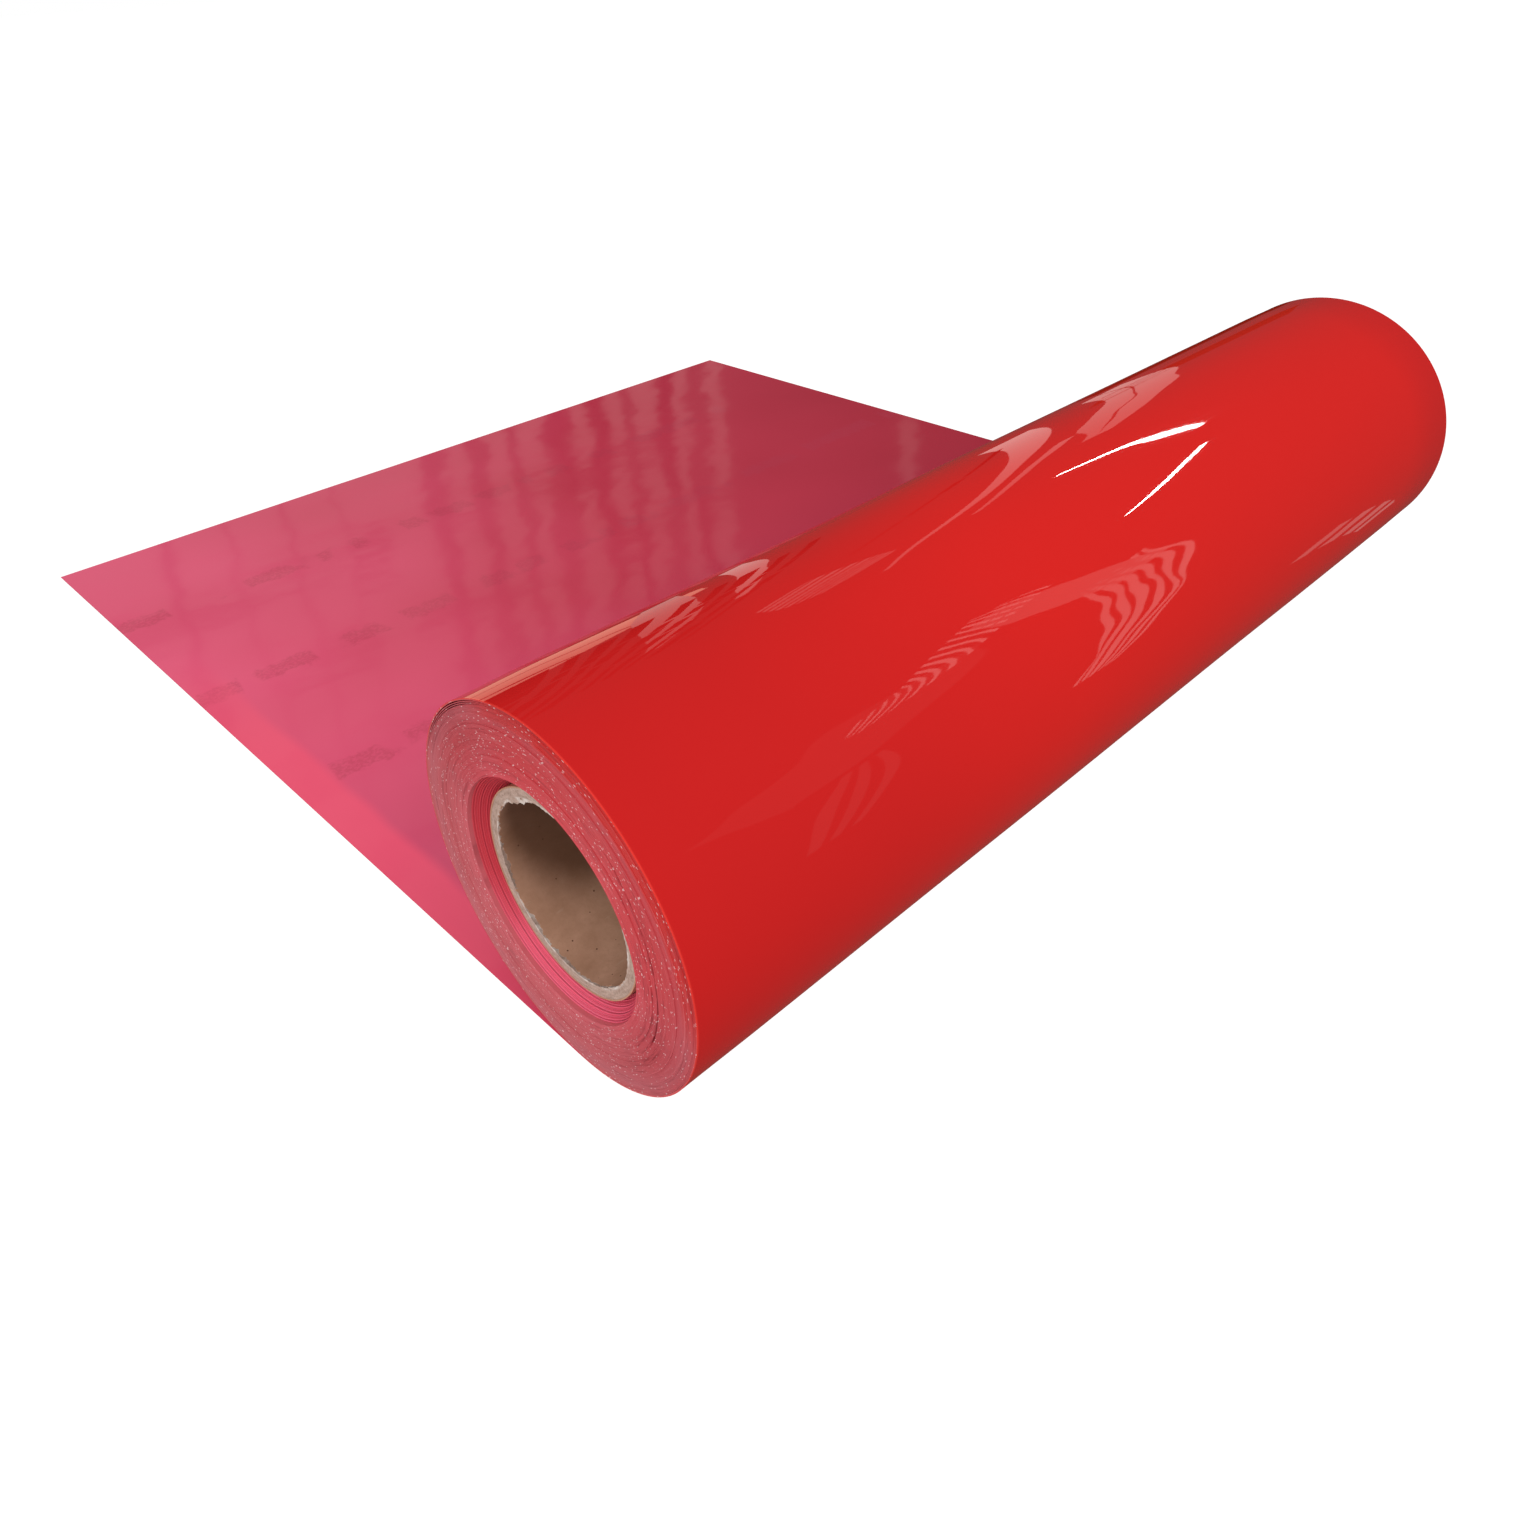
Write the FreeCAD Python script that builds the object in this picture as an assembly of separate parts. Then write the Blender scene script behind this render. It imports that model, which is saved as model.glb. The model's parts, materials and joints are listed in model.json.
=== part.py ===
import FreeCAD, Part
import math
import os

from FreeCAD import Vector

# A roll of self-adhesive sign vinyl on a paper core, with a length of its web
# unrolled flat on the floor. Millimetres, +Z up, floor at z = 0, roll axis
# along X. The near end of the roll is its -X end. The web leaves the roll at
# the floor and runs towards +Y. The origin is at the middle of the whole
# object's footprint.

os.makedirs("parts", exist_ok=True)

# ---------------------------------------------------------------- the web
WEB_WIDTH = 610.0          # width the web was slit to
VINYL_THICKNESS = 0.15     # face film with its adhesive coat
LINER_THICKNESS = 0.15     # release liner
LAID_LENGTH = 615.0        # unrolled length that lies on the floor
ROLL_RADIUS = 79.3         # outside of the outermost turn

# --------------------------------------------------------------- the core
BORE_RADIUS = 38.1         # 3 inch bore
INNER_PLY_THICKNESS = 0.5  # kraft paper lining of the bore
BOARD_THICKNESS = 4.1      # grey chipboard
OUTER_PLY_THICKNESS = 0.5  # kraft paper outside
CORE_OVERHANG = 4.0        # core length past the web, at each end

# ------------------------------------------------------------- start tape
TAPE_STRIPS = 3            # short strips that tie the web's start to the core
TAPE_THICKNESS = 0.1
TAPE_WIDTH = 48.0          # along the core
TAPE_REACH_DEGREES = 50.0  # round the core
TAPE_CLEARANCE = 0.2       # from a strip to the innermost turn

# ---------------------------------------------------------- slipped turns
SLIPPED_TURNS = 12         # inner steps that slid along the axis
SLIPPED_THICKNESS = 0.475  # one step
SLIP_CLEARANCE = 0.05      # running fit between two steps
SLIP_DEPTH = 8.4           # how far the innermost step slid towards +X

# ------------------------------------------------------------ wound bands
# From the inside out: each band's share of the tight winding, and how far
# its turns stand out past the near edge of the outermost turn.
BAND_SHARES = (0.10, 0.20, 0.22, 0.20, 0.15, 0.13)
BAND_STANDOUTS = (1.15, 1.35, 0.85, 1.0, 0.4, 0.25)

# ----------------------------------------------------------- outer turns
LOOSE_TURNS = 2            # turns that have sprung free of the winding
LOOSE_GAP = 0.1            # air inside each of them
RUNNING_GAP = 0.3          # air between them and the outermost turn
OUTER_TURN_STOP = 5.0      # degrees short of the floor where that turn ends

# ------------------------------------------------------- what follows
WEB_THICKNESS = VINYL_THICKNESS + LINER_THICKNESS
CORE_RADIUS = BORE_RADIUS + INNER_PLY_THICKNESS + BOARD_THICKNESS + OUTER_PLY_THICKNESS
CORE_LENGTH = WEB_WIDTH + 2 * CORE_OVERHANG
SLIPPED_PITCH = SLIPPED_THICKNESS + SLIP_CLEARANCE
FIRST_TURN_RADIUS = CORE_RADIUS + TAPE_THICKNESS + TAPE_CLEARANCE
WOUND_RADIUS = FIRST_TURN_RADIUS + SLIPPED_TURNS * SLIPPED_PITCH
PACK_RADIUS = ROLL_RADIUS - 2 * WEB_THICKNESS - RUNNING_GAP
LOOSE_PITCH = WEB_THICKNESS + LOOSE_GAP
BANDS_RADIUS = PACK_RADIUS - LOOSE_TURNS * LOOSE_PITCH

# The band that stands out most and the far end of the slipped core bound the
# object along X; the roll's front and the web's tail bound it along Y.
STANDOUT = max(BAND_STANDOUTS)
NEAR_X = (STANDOUT - WEB_WIDTH - SLIP_DEPTH - CORE_OVERHANG) / 2
AXIS_Y = -(LAID_LENGTH - ROLL_RADIUS) / 2
AXIS_Z = ROLL_RADIUS


def ring(inner_radius, outer_radius, near_x, length):
    """Closed ring round the roll's axis, from near_x towards +X."""
    centre = Vector(near_x, AXIS_Y, AXIS_Z)
    along = Vector(1, 0, 0)
    body = Part.makeCylinder(outer_radius, length, centre, along)
    hole = Part.makeCylinder(inner_radius, length, centre, along)
    return body.cut(hole)


def section_point(radius, degrees, centre_z, x):
    """Point of a turn's section, its angle counted from the floor towards +Y."""
    angle = math.radians(degrees)
    y = AXIS_Y + radius * math.sin(angle)
    z = centre_z - radius * math.cos(angle)
    return Vector(x, y, z)


def section_arc(radius, start, end, centre_z, x):
    """Arc edge of a turn's section between two angles."""
    angles = (start, (start + end) / 2, end)
    points = [section_point(radius, a, centre_z, x) for a in angles]
    return Part.Arc(*points).toShape()


def core_layer(inner_radius, thickness):
    """One layer of the core, as long as the core and slipped with it."""
    near_x = NEAR_X + SLIP_DEPTH - CORE_OVERHANG
    return ring(inner_radius, inner_radius + thickness, near_x, CORE_LENGTH)


def start_tape(number):
    """One of the strips on the core under the innermost turn."""
    middle_x = NEAR_X + SLIP_DEPTH + WEB_WIDTH * (number - 0.5) / TAPE_STRIPS
    near_x = middle_x - TAPE_WIDTH / 2
    outer_radius = CORE_RADIUS + TAPE_THICKNESS
    first = 180.0 - TAPE_REACH_DEGREES / 2
    last = 180.0 + TAPE_REACH_DEGREES / 2
    edges = [
        section_arc(outer_radius, first, last, AXIS_Z, near_x),
        Part.makeLine(section_point(outer_radius, last, AXIS_Z, near_x),
                      section_point(CORE_RADIUS, last, AXIS_Z, near_x)),
        section_arc(CORE_RADIUS, last, first, AXIS_Z, near_x),
        Part.makeLine(section_point(CORE_RADIUS, first, AXIS_Z, near_x),
                      section_point(outer_radius, first, AXIS_Z, near_x)),
    ]
    return Part.Face(Part.Wire(edges)).extrude(Vector(TAPE_WIDTH, 0, 0))


def slipped_turn(number):
    """Step number 1 is the innermost and slid the furthest."""
    inner_radius = FIRST_TURN_RADIUS + (number - 1) * SLIPPED_PITCH
    slide = SLIP_DEPTH * (SLIPPED_TURNS + 1 - number) / SLIPPED_TURNS
    return ring(inner_radius, inner_radius + SLIPPED_THICKNESS, NEAR_X + slide, WEB_WIDTH)


def wound_band(index):
    """One band of tightly wound turns."""
    depth = BANDS_RADIUS - WOUND_RADIUS
    whole = sum(BAND_SHARES)
    inner_radius = WOUND_RADIUS + depth * sum(BAND_SHARES[:index]) / whole
    outer_radius = WOUND_RADIUS + depth * sum(BAND_SHARES[:index + 1]) / whole
    return ring(inner_radius, outer_radius, NEAR_X - BAND_STANDOUTS[index], WEB_WIDTH)


def loose_turn(number):
    """A turn with air under it, outside the wound bands."""
    outer_radius = BANDS_RADIUS + number * LOOSE_PITCH
    return ring(outer_radius - WEB_THICKNESS, outer_radius, NEAR_X, WEB_WIDTH)


def outermost_turn(depth, thickness):
    """One layer of the outermost turn, depth below the roll's outside.

    It rises from the floor on the -Y side, passes over the top and comes
    down on the +Y side one web thickness further in: two half turns, the
    second with its centre half a thickness higher.
    """
    outer = ROLL_RADIUS - depth
    inner = outer - thickness
    step = WEB_THICKNESS / 2
    rise = AXIS_Z + step
    top = 180.0
    stop = 360.0 - OUTER_TURN_STOP
    edges = [
        section_arc(outer, 0.0, -top, AXIS_Z, NEAR_X),
        section_arc(outer - step, -top, -stop, rise, NEAR_X),
        Part.makeLine(section_point(outer - step, -stop, rise, NEAR_X),
                      section_point(inner - step, -stop, rise, NEAR_X)),
        section_arc(inner - step, -stop, -top, rise, NEAR_X),
        section_arc(inner, -top, 0.0, AXIS_Z, NEAR_X),
        Part.makeLine(section_point(inner, 0.0, AXIS_Z, NEAR_X),
                      section_point(outer, 0.0, AXIS_Z, NEAR_X)),
    ]
    return Part.Face(Part.Wire(edges)).extrude(Vector(WEB_WIDTH, 0, 0))


def laid_layer(bottom, thickness):
    """One layer of the unrolled web, from under the roll to its tail."""
    corner = Vector(NEAR_X, AXIS_Y, bottom)
    return Part.makeBox(WEB_WIDTH, LAID_LENGTH, thickness, corner)


def build():
    """Every piece by its node's name."""
    board_radius = BORE_RADIUS + INNER_PLY_THICKNESS
    pieces = {
        "core_inner_ply": core_layer(BORE_RADIUS, INNER_PLY_THICKNESS),
        "core_board": core_layer(board_radius, BOARD_THICKNESS),
        "core_outer_ply": core_layer(board_radius + BOARD_THICKNESS, OUTER_PLY_THICKNESS),
    }
    for number in range(1, TAPE_STRIPS + 1):
        pieces["start_tape_%d" % number] = start_tape(number)
    for number in range(1, SLIPPED_TURNS + 1):
        pieces["inner_turn_%02d" % number] = slipped_turn(number)
    for index in range(len(BAND_SHARES)):
        pieces["wound_band_%d" % (index + 1)] = wound_band(index)
    for number in range(1, LOOSE_TURNS + 1):
        pieces["loose_turn_%d" % number] = loose_turn(number)
    pieces["outer_turn_vinyl"] = outermost_turn(0.0, VINYL_THICKNESS)
    pieces["outer_turn_liner"] = outermost_turn(VINYL_THICKNESS, LINER_THICKNESS)
    pieces["laid_vinyl"] = laid_layer(0.0, VINYL_THICKNESS)
    pieces["laid_liner"] = laid_layer(VINYL_THICKNESS, LINER_THICKNESS)
    return pieces


def main():
    """Build each piece, test that it is one sound solid and write it."""
    for name, piece in build().items():
        if not piece.isValid() or len(piece.Solids) != 1:
            raise ValueError("%s is not one valid solid" % name)
        piece.Solids[0].exportStep(os.path.join("parts", name + ".step"))
        print("%-18s %10.1f mm3" % (name, piece.Volume))


main()
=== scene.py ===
"""Looks for a roll of sign vinyl: film, liner, wound turns, paper core and studio."""

from __future__ import annotations

import json
import logging
import math
import random
from dataclasses import dataclass
from enum import Enum
from typing import Callable

import bmesh
import bpy
from mathutils import Matrix, Vector, noise

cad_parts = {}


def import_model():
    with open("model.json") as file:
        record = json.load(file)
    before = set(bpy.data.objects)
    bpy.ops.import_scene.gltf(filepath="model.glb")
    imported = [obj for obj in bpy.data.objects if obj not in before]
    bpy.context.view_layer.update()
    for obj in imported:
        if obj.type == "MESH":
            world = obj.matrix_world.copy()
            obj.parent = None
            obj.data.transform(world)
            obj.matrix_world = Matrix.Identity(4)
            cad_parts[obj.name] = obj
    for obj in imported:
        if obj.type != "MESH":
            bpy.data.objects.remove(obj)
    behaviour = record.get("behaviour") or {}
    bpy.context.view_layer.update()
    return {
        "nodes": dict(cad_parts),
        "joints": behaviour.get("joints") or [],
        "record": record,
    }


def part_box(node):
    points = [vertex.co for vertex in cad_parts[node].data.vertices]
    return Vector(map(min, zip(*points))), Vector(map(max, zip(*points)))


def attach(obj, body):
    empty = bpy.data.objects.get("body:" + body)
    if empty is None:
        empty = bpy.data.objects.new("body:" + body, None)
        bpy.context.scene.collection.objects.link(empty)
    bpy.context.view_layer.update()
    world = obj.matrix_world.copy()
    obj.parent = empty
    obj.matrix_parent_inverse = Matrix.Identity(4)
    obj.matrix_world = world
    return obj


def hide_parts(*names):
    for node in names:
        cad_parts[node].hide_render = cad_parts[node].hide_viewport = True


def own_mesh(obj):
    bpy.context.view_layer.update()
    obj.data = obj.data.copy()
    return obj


LOG = logging.getLogger("vinyl_roll")
MM = 0.001
TURN = 2 * math.pi
SHARP = math.radians(35)

Output = tuple[bpy.types.Node, int | str]
Socket = Output | float
Colour = tuple[float, float, float, float]


# ------------------------------------------------------------------ colours


def linear(hex_colour: str) -> Colour:
    """Turn an sRGB hex colour into linear light.

    Args:
        hex_colour: Six hex digits.

    Returns:
        Red, green, blue and a full alpha for a node socket.
    """
    values = [int(hex_colour[i : i + 2], 16) / 255 for i in (0, 2, 4)]
    light = [v / 12.92 if v <= 0.04045 else ((v + 0.055) / 1.055) ** 2.4 for v in values]
    return (light[0], light[1], light[2], 1.0)


# ---------------------------------------------------------------- the place


@dataclass(frozen=True)
class RollPlace:
    """Where the roll is and how large it is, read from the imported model."""

    near: float
    far: float
    axis_y: float
    axis_z: float
    radius: float
    bore: float
    tail: float
    vinyl: float
    liner: float

    @classmethod
    def read(cls, record: dict) -> "RollPlace":
        """Read the roll's place and sizes.

        Args:
            record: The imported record, whose bore mount gives the axis.

        Returns:
            The place in metres.
        """
        bore = next(m for m in record["mounts"] if m["name"] == "core_bore")
        low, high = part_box("laid_vinyl")
        liner_low, liner_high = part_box("laid_liner")
        return cls(
            near=low.x,
            far=high.x,
            axis_y=bore["pos_m"][1],
            axis_z=bore["pos_m"][2],
            radius=bore["pos_m"][2],
            bore=bore["dims"]["r_mm"] * MM,
            tail=high.y,
            vinyl=high.z - low.z,
            liner=liner_high.z - liner_low.z,
        )

    @property
    def axis(self) -> Vector:
        """A point on the roll's axis, in the plane of the web's near edge."""
        return Vector((self.near, self.axis_y, self.axis_z))

    def polar(self, point: Vector) -> tuple[float, float]:
        """Angle from the floor towards +Y, in radians, and radius.

        Args:
            point: The point, in metres.

        Returns:
            The angle and the radius round the roll's axis.
        """
        y = point.y - self.axis_y
        z = point.z - self.axis_z
        return math.atan2(y, -z) % TURN, math.hypot(y, z)

    def at(self, x: float, angle: float, radius: float) -> Vector:
        """The point at an angle and radius round the axis.

        Args:
            x: The place along the axis, in metres.
            angle: The angle from the floor towards +Y, in radians.
            radius: The distance from the axis, in metres.

        Returns:
            The point, in metres.
        """
        y = self.axis_y + radius * math.sin(angle)
        z = self.axis_z - radius * math.cos(angle)
        return Vector((x, y, z))


@dataclass(frozen=True)
class Crack:
    """The dark crack between turns in the near end, where the winding has parted."""

    at: float = math.radians(272)
    radius_mm: float = 60.2
    bend_mm: float = 4.56


CRACK = Crack()


def ring_radius(node: str) -> float:
    """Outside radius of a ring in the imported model."""
    low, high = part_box(node)
    return (high.y - low.y) / 2


# ------------------------------------------------------------ mesh helpers


def new_piece(name: str, bm: bmesh.types.BMesh, smooth: bool = True) -> bpy.types.Object:
    """Make an object at the origin from a bmesh, and free the bmesh.

    Args:
        name: The piece's name.
        bm: The finished mesh, in the frame's metres.
        smooth: Whether its faces are shaded smooth, with edges over 35 degrees kept sharp.

    Returns:
        The new object, linked to the scene.
    """
    for edge in bm.edges:
        edge.smooth = edge.calc_face_angle(0.0) < SHARP
    mesh = bpy.data.meshes.new(name)
    bm.to_mesh(mesh)
    bm.free()
    mesh.polygons.foreach_set("use_smooth", [smooth] * len(mesh.polygons))
    piece = bpy.data.objects.new(name, mesh)
    bpy.context.scene.collection.objects.link(piece)
    return piece


def spun(
    place: RollPlace,
    section: list[tuple[float, float]],
    steps: int,
    shift: Callable[[float, float, float], tuple[float, float]] | None = None,
    sweep: float = TURN,
) -> bmesh.types.BMesh:
    """Spin a closed section round the roll's axis.

    Args:
        place: Gives the axis.
        section: Points of x and radius, in order round the section.
        steps: Number of steps round the axis.
        shift: Moves a point: from x, angle and radius to a change of x and of radius.
        sweep: Angle spun through, from the floor; a full turn is closed.

    Returns:
        A closed mesh with its faces outwards.
    """
    bm = bmesh.new()
    verts = [bm.verts.new(place.at(x, 0.0, r)) for x, r in section]
    edges = [bm.edges.new((verts[i - 1], verts[i])) for i in range(len(verts))]
    full = abs(abs(sweep) - TURN) < 1e-6
    bmesh.ops.spin(
        bm,
        geom=verts + edges,
        cent=place.axis,
        axis=(1, 0, 0),
        angle=sweep,
        steps=steps,
        use_merge=full,
    )
    if not full:
        open_edges = [e for e in bm.edges if e.is_boundary]
        bmesh.ops.holes_fill(bm, edges=open_edges, sides=len(section) + 1)
    if shift is not None:
        for v in bm.verts:
            angle, r = place.polar(v.co)
            dx, dr = shift(v.co.x, angle, r)
            v.co = place.at(v.co.x + dx, angle, r + dr)
    bmesh.ops.recalc_face_normals(bm, faces=bm.faces)
    return bm


def window(value: float, low: float, high: float, edge: float) -> float:
    """Weigh a value by a range with soft ends.

    Args:
        value: The value.
        low: Start of the range.
        high: End of the range.
        edge: How far outside the range the weight fades out.

    Returns:
        One inside the range, and down to zero outside it.
    """
    rise = (value - (low - edge)) / edge
    fall = ((high + edge) - value) / edge
    t = max(0.0, min(1.0, rise, fall))
    return t * t * (3 - 2 * t)


# --------------------------------------------------------- material helpers


class Shader:
    """Builds one node material."""

    def __init__(self, name: str) -> None:
        """Start a material with a Principled shader and an output.

        Args:
            name: The material's name.
        """
        self.material = bpy.data.materials.new(name)
        self.material.use_nodes = True
        self.tree = self.material.node_tree
        self.tree.nodes.clear()
        self.output = self.add("ShaderNodeOutputMaterial")
        self.skin = self.add("ShaderNodeBsdfPrincipled")
        self.link(self.skin, "BSDF", self.output, "Surface")

    def add(
        self,
        kind: str,
        links: dict[int | str, Socket | Colour | tuple[float, ...]] | None = None,
        **settings: str,
    ) -> bpy.types.Node:
        """Add a node.

        Args:
            kind: The node's type name.
            links: Input name or number to a value, or to (node, output name).
            settings: Attributes of the node.

        Returns:
            The new node.
        """
        node = self.tree.nodes.new(kind)
        for key, value in settings.items():
            setattr(node, key, value)
        for key, value in (links or {}).items():
            if isinstance(value, tuple) and isinstance(value[0], bpy.types.Node):
                self.tree.links.new(value[0].outputs[value[1]], node.inputs[key])
            else:
                node.inputs[key].default_value = value
        return node

    def link(
        self,
        source: bpy.types.Node,
        out: str | int,
        target: bpy.types.Node,
        into: str | int,
    ) -> None:
        """Join an output to an input."""
        self.tree.links.new(source.outputs[out], target.inputs[into])

    def ramp(self, source: Output, stops: list[tuple[float, str]]) -> bpy.types.Node:
        """Add a colour ramp.

        Args:
            source: Node and output that drive it.
            stops: Positions and sRGB hex colours, lowest first.

        Returns:
            The ramp, whose output is Color.
        """
        node = self.add("ShaderNodeValToRGB", {"Fac": source})
        ramp = node.color_ramp
        while len(ramp.elements) < len(stops):
            ramp.elements.new(0.5)
        for element, (position, colour) in zip(ramp.elements, stops):
            element.position = position
            element.color = linear(colour)
        return node

    def math(self, operation: str, *values: Socket) -> Output:
        """Add a maths node; its inputs are numbers or (node, output) pairs."""
        return self.add("ShaderNodeMath", dict(enumerate(values)), operation=operation), 0

    def fade(self, value: Output, start: float, end: float) -> Output:
        """Go smoothly from 0 at start to 1 at end."""
        links = {"Value": value, "From Min": start, "From Max": end}
        return self.add("ShaderNodeMapRange", links, interpolation_type="SMOOTHSTEP"), 0

    def mix(self, factor: Output, first: Output, second: Colour) -> Output:
        """Mix two colours."""
        return self.add("ShaderNodeMix", {0: factor, 6: first, 7: second}, data_type="RGBA"), 2

    def noise(self, vector: Output, scale: float, detail: float = 2.0, rough: float = 0.5) -> Output:
        """Add a noise texture and return its value."""
        links = {"Vector": vector, "Scale": scale, "Detail": detail, "Roughness": rough}
        return self.add("ShaderNodeTexNoise", links), 0

    def bump(
        self,
        height: Output,
        distance: float,
        strength: float = 1.0,
        after: Output | None = None,
    ) -> Output:
        """Add a bump node.

        Args:
            height: Output that gives the height.
            distance: Height of a full step, in metres.
            strength: Share of the effect.
            after: Bump that this one lies on.

        Returns:
            The new normal.
        """
        links = {"Height": height, "Distance": distance, "Strength": strength}
        if after is not None:
            links["Normal"] = after
        return self.add("ShaderNodeBump", links), 0

    def round_axis(self, place: RollPlace) -> "AxisNodes":
        """Add the nodes that give a point's place round the roll's axis.

        Args:
            place: Gives the axis.

        Returns:
            The place's outputs.
        """
        where = self.add("ShaderNodeTexCoord")
        centred = self.add(
            "ShaderNodeMapping",
            {"Vector": (where, "Object"), "Location": (0.0, -place.axis_y, -place.axis_z)},
        )
        flat = self.add("ShaderNodeVectorMath", {0: (centred, 0), 1: (0.0, 1.0, 1.0)}, operation="MULTIPLY")
        radius = self.add("ShaderNodeVectorMath", {0: (flat, 0)}, operation="LENGTH")
        unit = self.add("ShaderNodeVectorMath", {0: (flat, 0)}, operation="NORMALIZE")
        along = self.add("ShaderNodeSeparateXYZ", {0: (centred, 0)})
        side = self.add("ShaderNodeSeparateXYZ", {0: (unit, 0)})
        angle = self.math("ARCTAN2", (side, 1), (side, 2))
        return AxisNodes((centred, 0), (radius, 1), (side, 1), (side, 2), angle, (along, 0))

    def ring_space(self, axis: "AxisNodes", radial: float, round_it: float) -> Output:
        """Coordinates for a pattern that follows the turns, without a seam.

        Args:
            axis: The nodes round the axis.
            radial: Size of the pattern across the turns, in metres.
            round_it: How many patterns there are to a radian round the roll.

        Returns:
            Node and output of the vector.
        """
        across = self.math("MULTIPLY", axis.radius, 1 / radial)
        first = self.math("MULTIPLY", axis.y, round_it)
        second = self.math("MULTIPLY", axis.z, round_it)
        return self.add("ShaderNodeCombineXYZ", {0: across, 1: first, 2: second}), 0


@dataclass(frozen=True)
class AxisNodes:
    """Outputs that give a point's place round the roll's axis."""

    centred: Output
    radius: Output
    y: Output
    z: Output
    angle: Output
    x: Output


def dress(piece: bpy.types.Object, material: bpy.types.Material) -> None:
    """Give a piece one material."""
    piece.data.materials.clear()
    piece.data.materials.append(material)


# ---------------------------------------------------------------- finishes


@dataclass(frozen=True)
class GlossyFilm:
    """Calendered PVC film, pressed between polished rolls: an even red under a clear gloss.

    The calender leaves soft cross waves that only its reflections show. Its colour holds painted shade,
    darker towards both ends of the roll, and a painted highlight along the near edge.
    """

    colour: str = "d4221f"
    # painted shade: the darker red towards both ends of the roll
    painted_shade: str = "c21f1f"
    # painted highlight: the bright line along the film's near edge
    edge: str = "e43c34"
    roughness: float = 0.02
    ior: float = 1.52
    cloud_mm: float = 150.0
    wave_mm: float = 75.0
    wave_height_mm: float = 0.12
    orange_peel_mm: float = 14.0
    orange_peel_height_mm: float = 0.001
    edge_highlight_mm: float = 0.9
    near_fade_mm: float = 280.0
    far_fade_mm: tuple[float, float] = (520.0, 640.0)

    def material(self, place: RollPlace) -> bpy.types.Material:
        """Build the film's material.

        Args:
            place: Gives the axis and the web's near edge.

        Returns:
            The material.
        """
        s = Shader("glossy_red_pvc_film")
        axis = s.round_axis(place)
        cloud = s.noise(axis.centred, 1 / (self.cloud_mm * MM))
        near = s.math("SUBTRACT", axis.x, place.near)
        start, end = (mm * MM for mm in self.far_fade_mm)
        # painted shade: the colour darkens towards the near end and the far end of the roll
        unshaded_middle = s.math("SUBTRACT", s.fade(near, 0.0, self.near_fade_mm * MM), s.fade(near, start, end))
        shade = s.math("MULTIPLY_ADD", cloud, 0.5, s.math("MULTIPLY", unshaded_middle, 0.75))
        body = s.ramp(shade, [(0.2, self.painted_shade), (0.85, self.colour)])
        # painted highlight: a bright line along the near edge of the film
        rim = s.fade(near, self.edge_highlight_mm * MM, 0.0)
        s.link(*s.mix(rim, (body, "Color"), linear(self.edge)), s.skin, "Base Color")
        stretched = s.add("ShaderNodeMapping", {"Vector": axis.centred, "Scale": (1.0, 0.45, 0.45)})
        waves = s.noise((stretched, 0), 1 / (self.wave_mm * MM), 1.0)
        peel = s.noise(axis.centred, 1 / (self.orange_peel_mm * MM), 2.0)
        bump = s.bump(waves, self.wave_height_mm * MM)
        bump = s.bump(peel, self.orange_peel_height_mm * MM, 1.0, bump)
        s.link(*bump, s.skin, "Normal")
        s.skin.inputs["Roughness"].default_value = self.roughness
        s.skin.inputs["IOR"].default_value = self.ior
        return s.material


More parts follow.
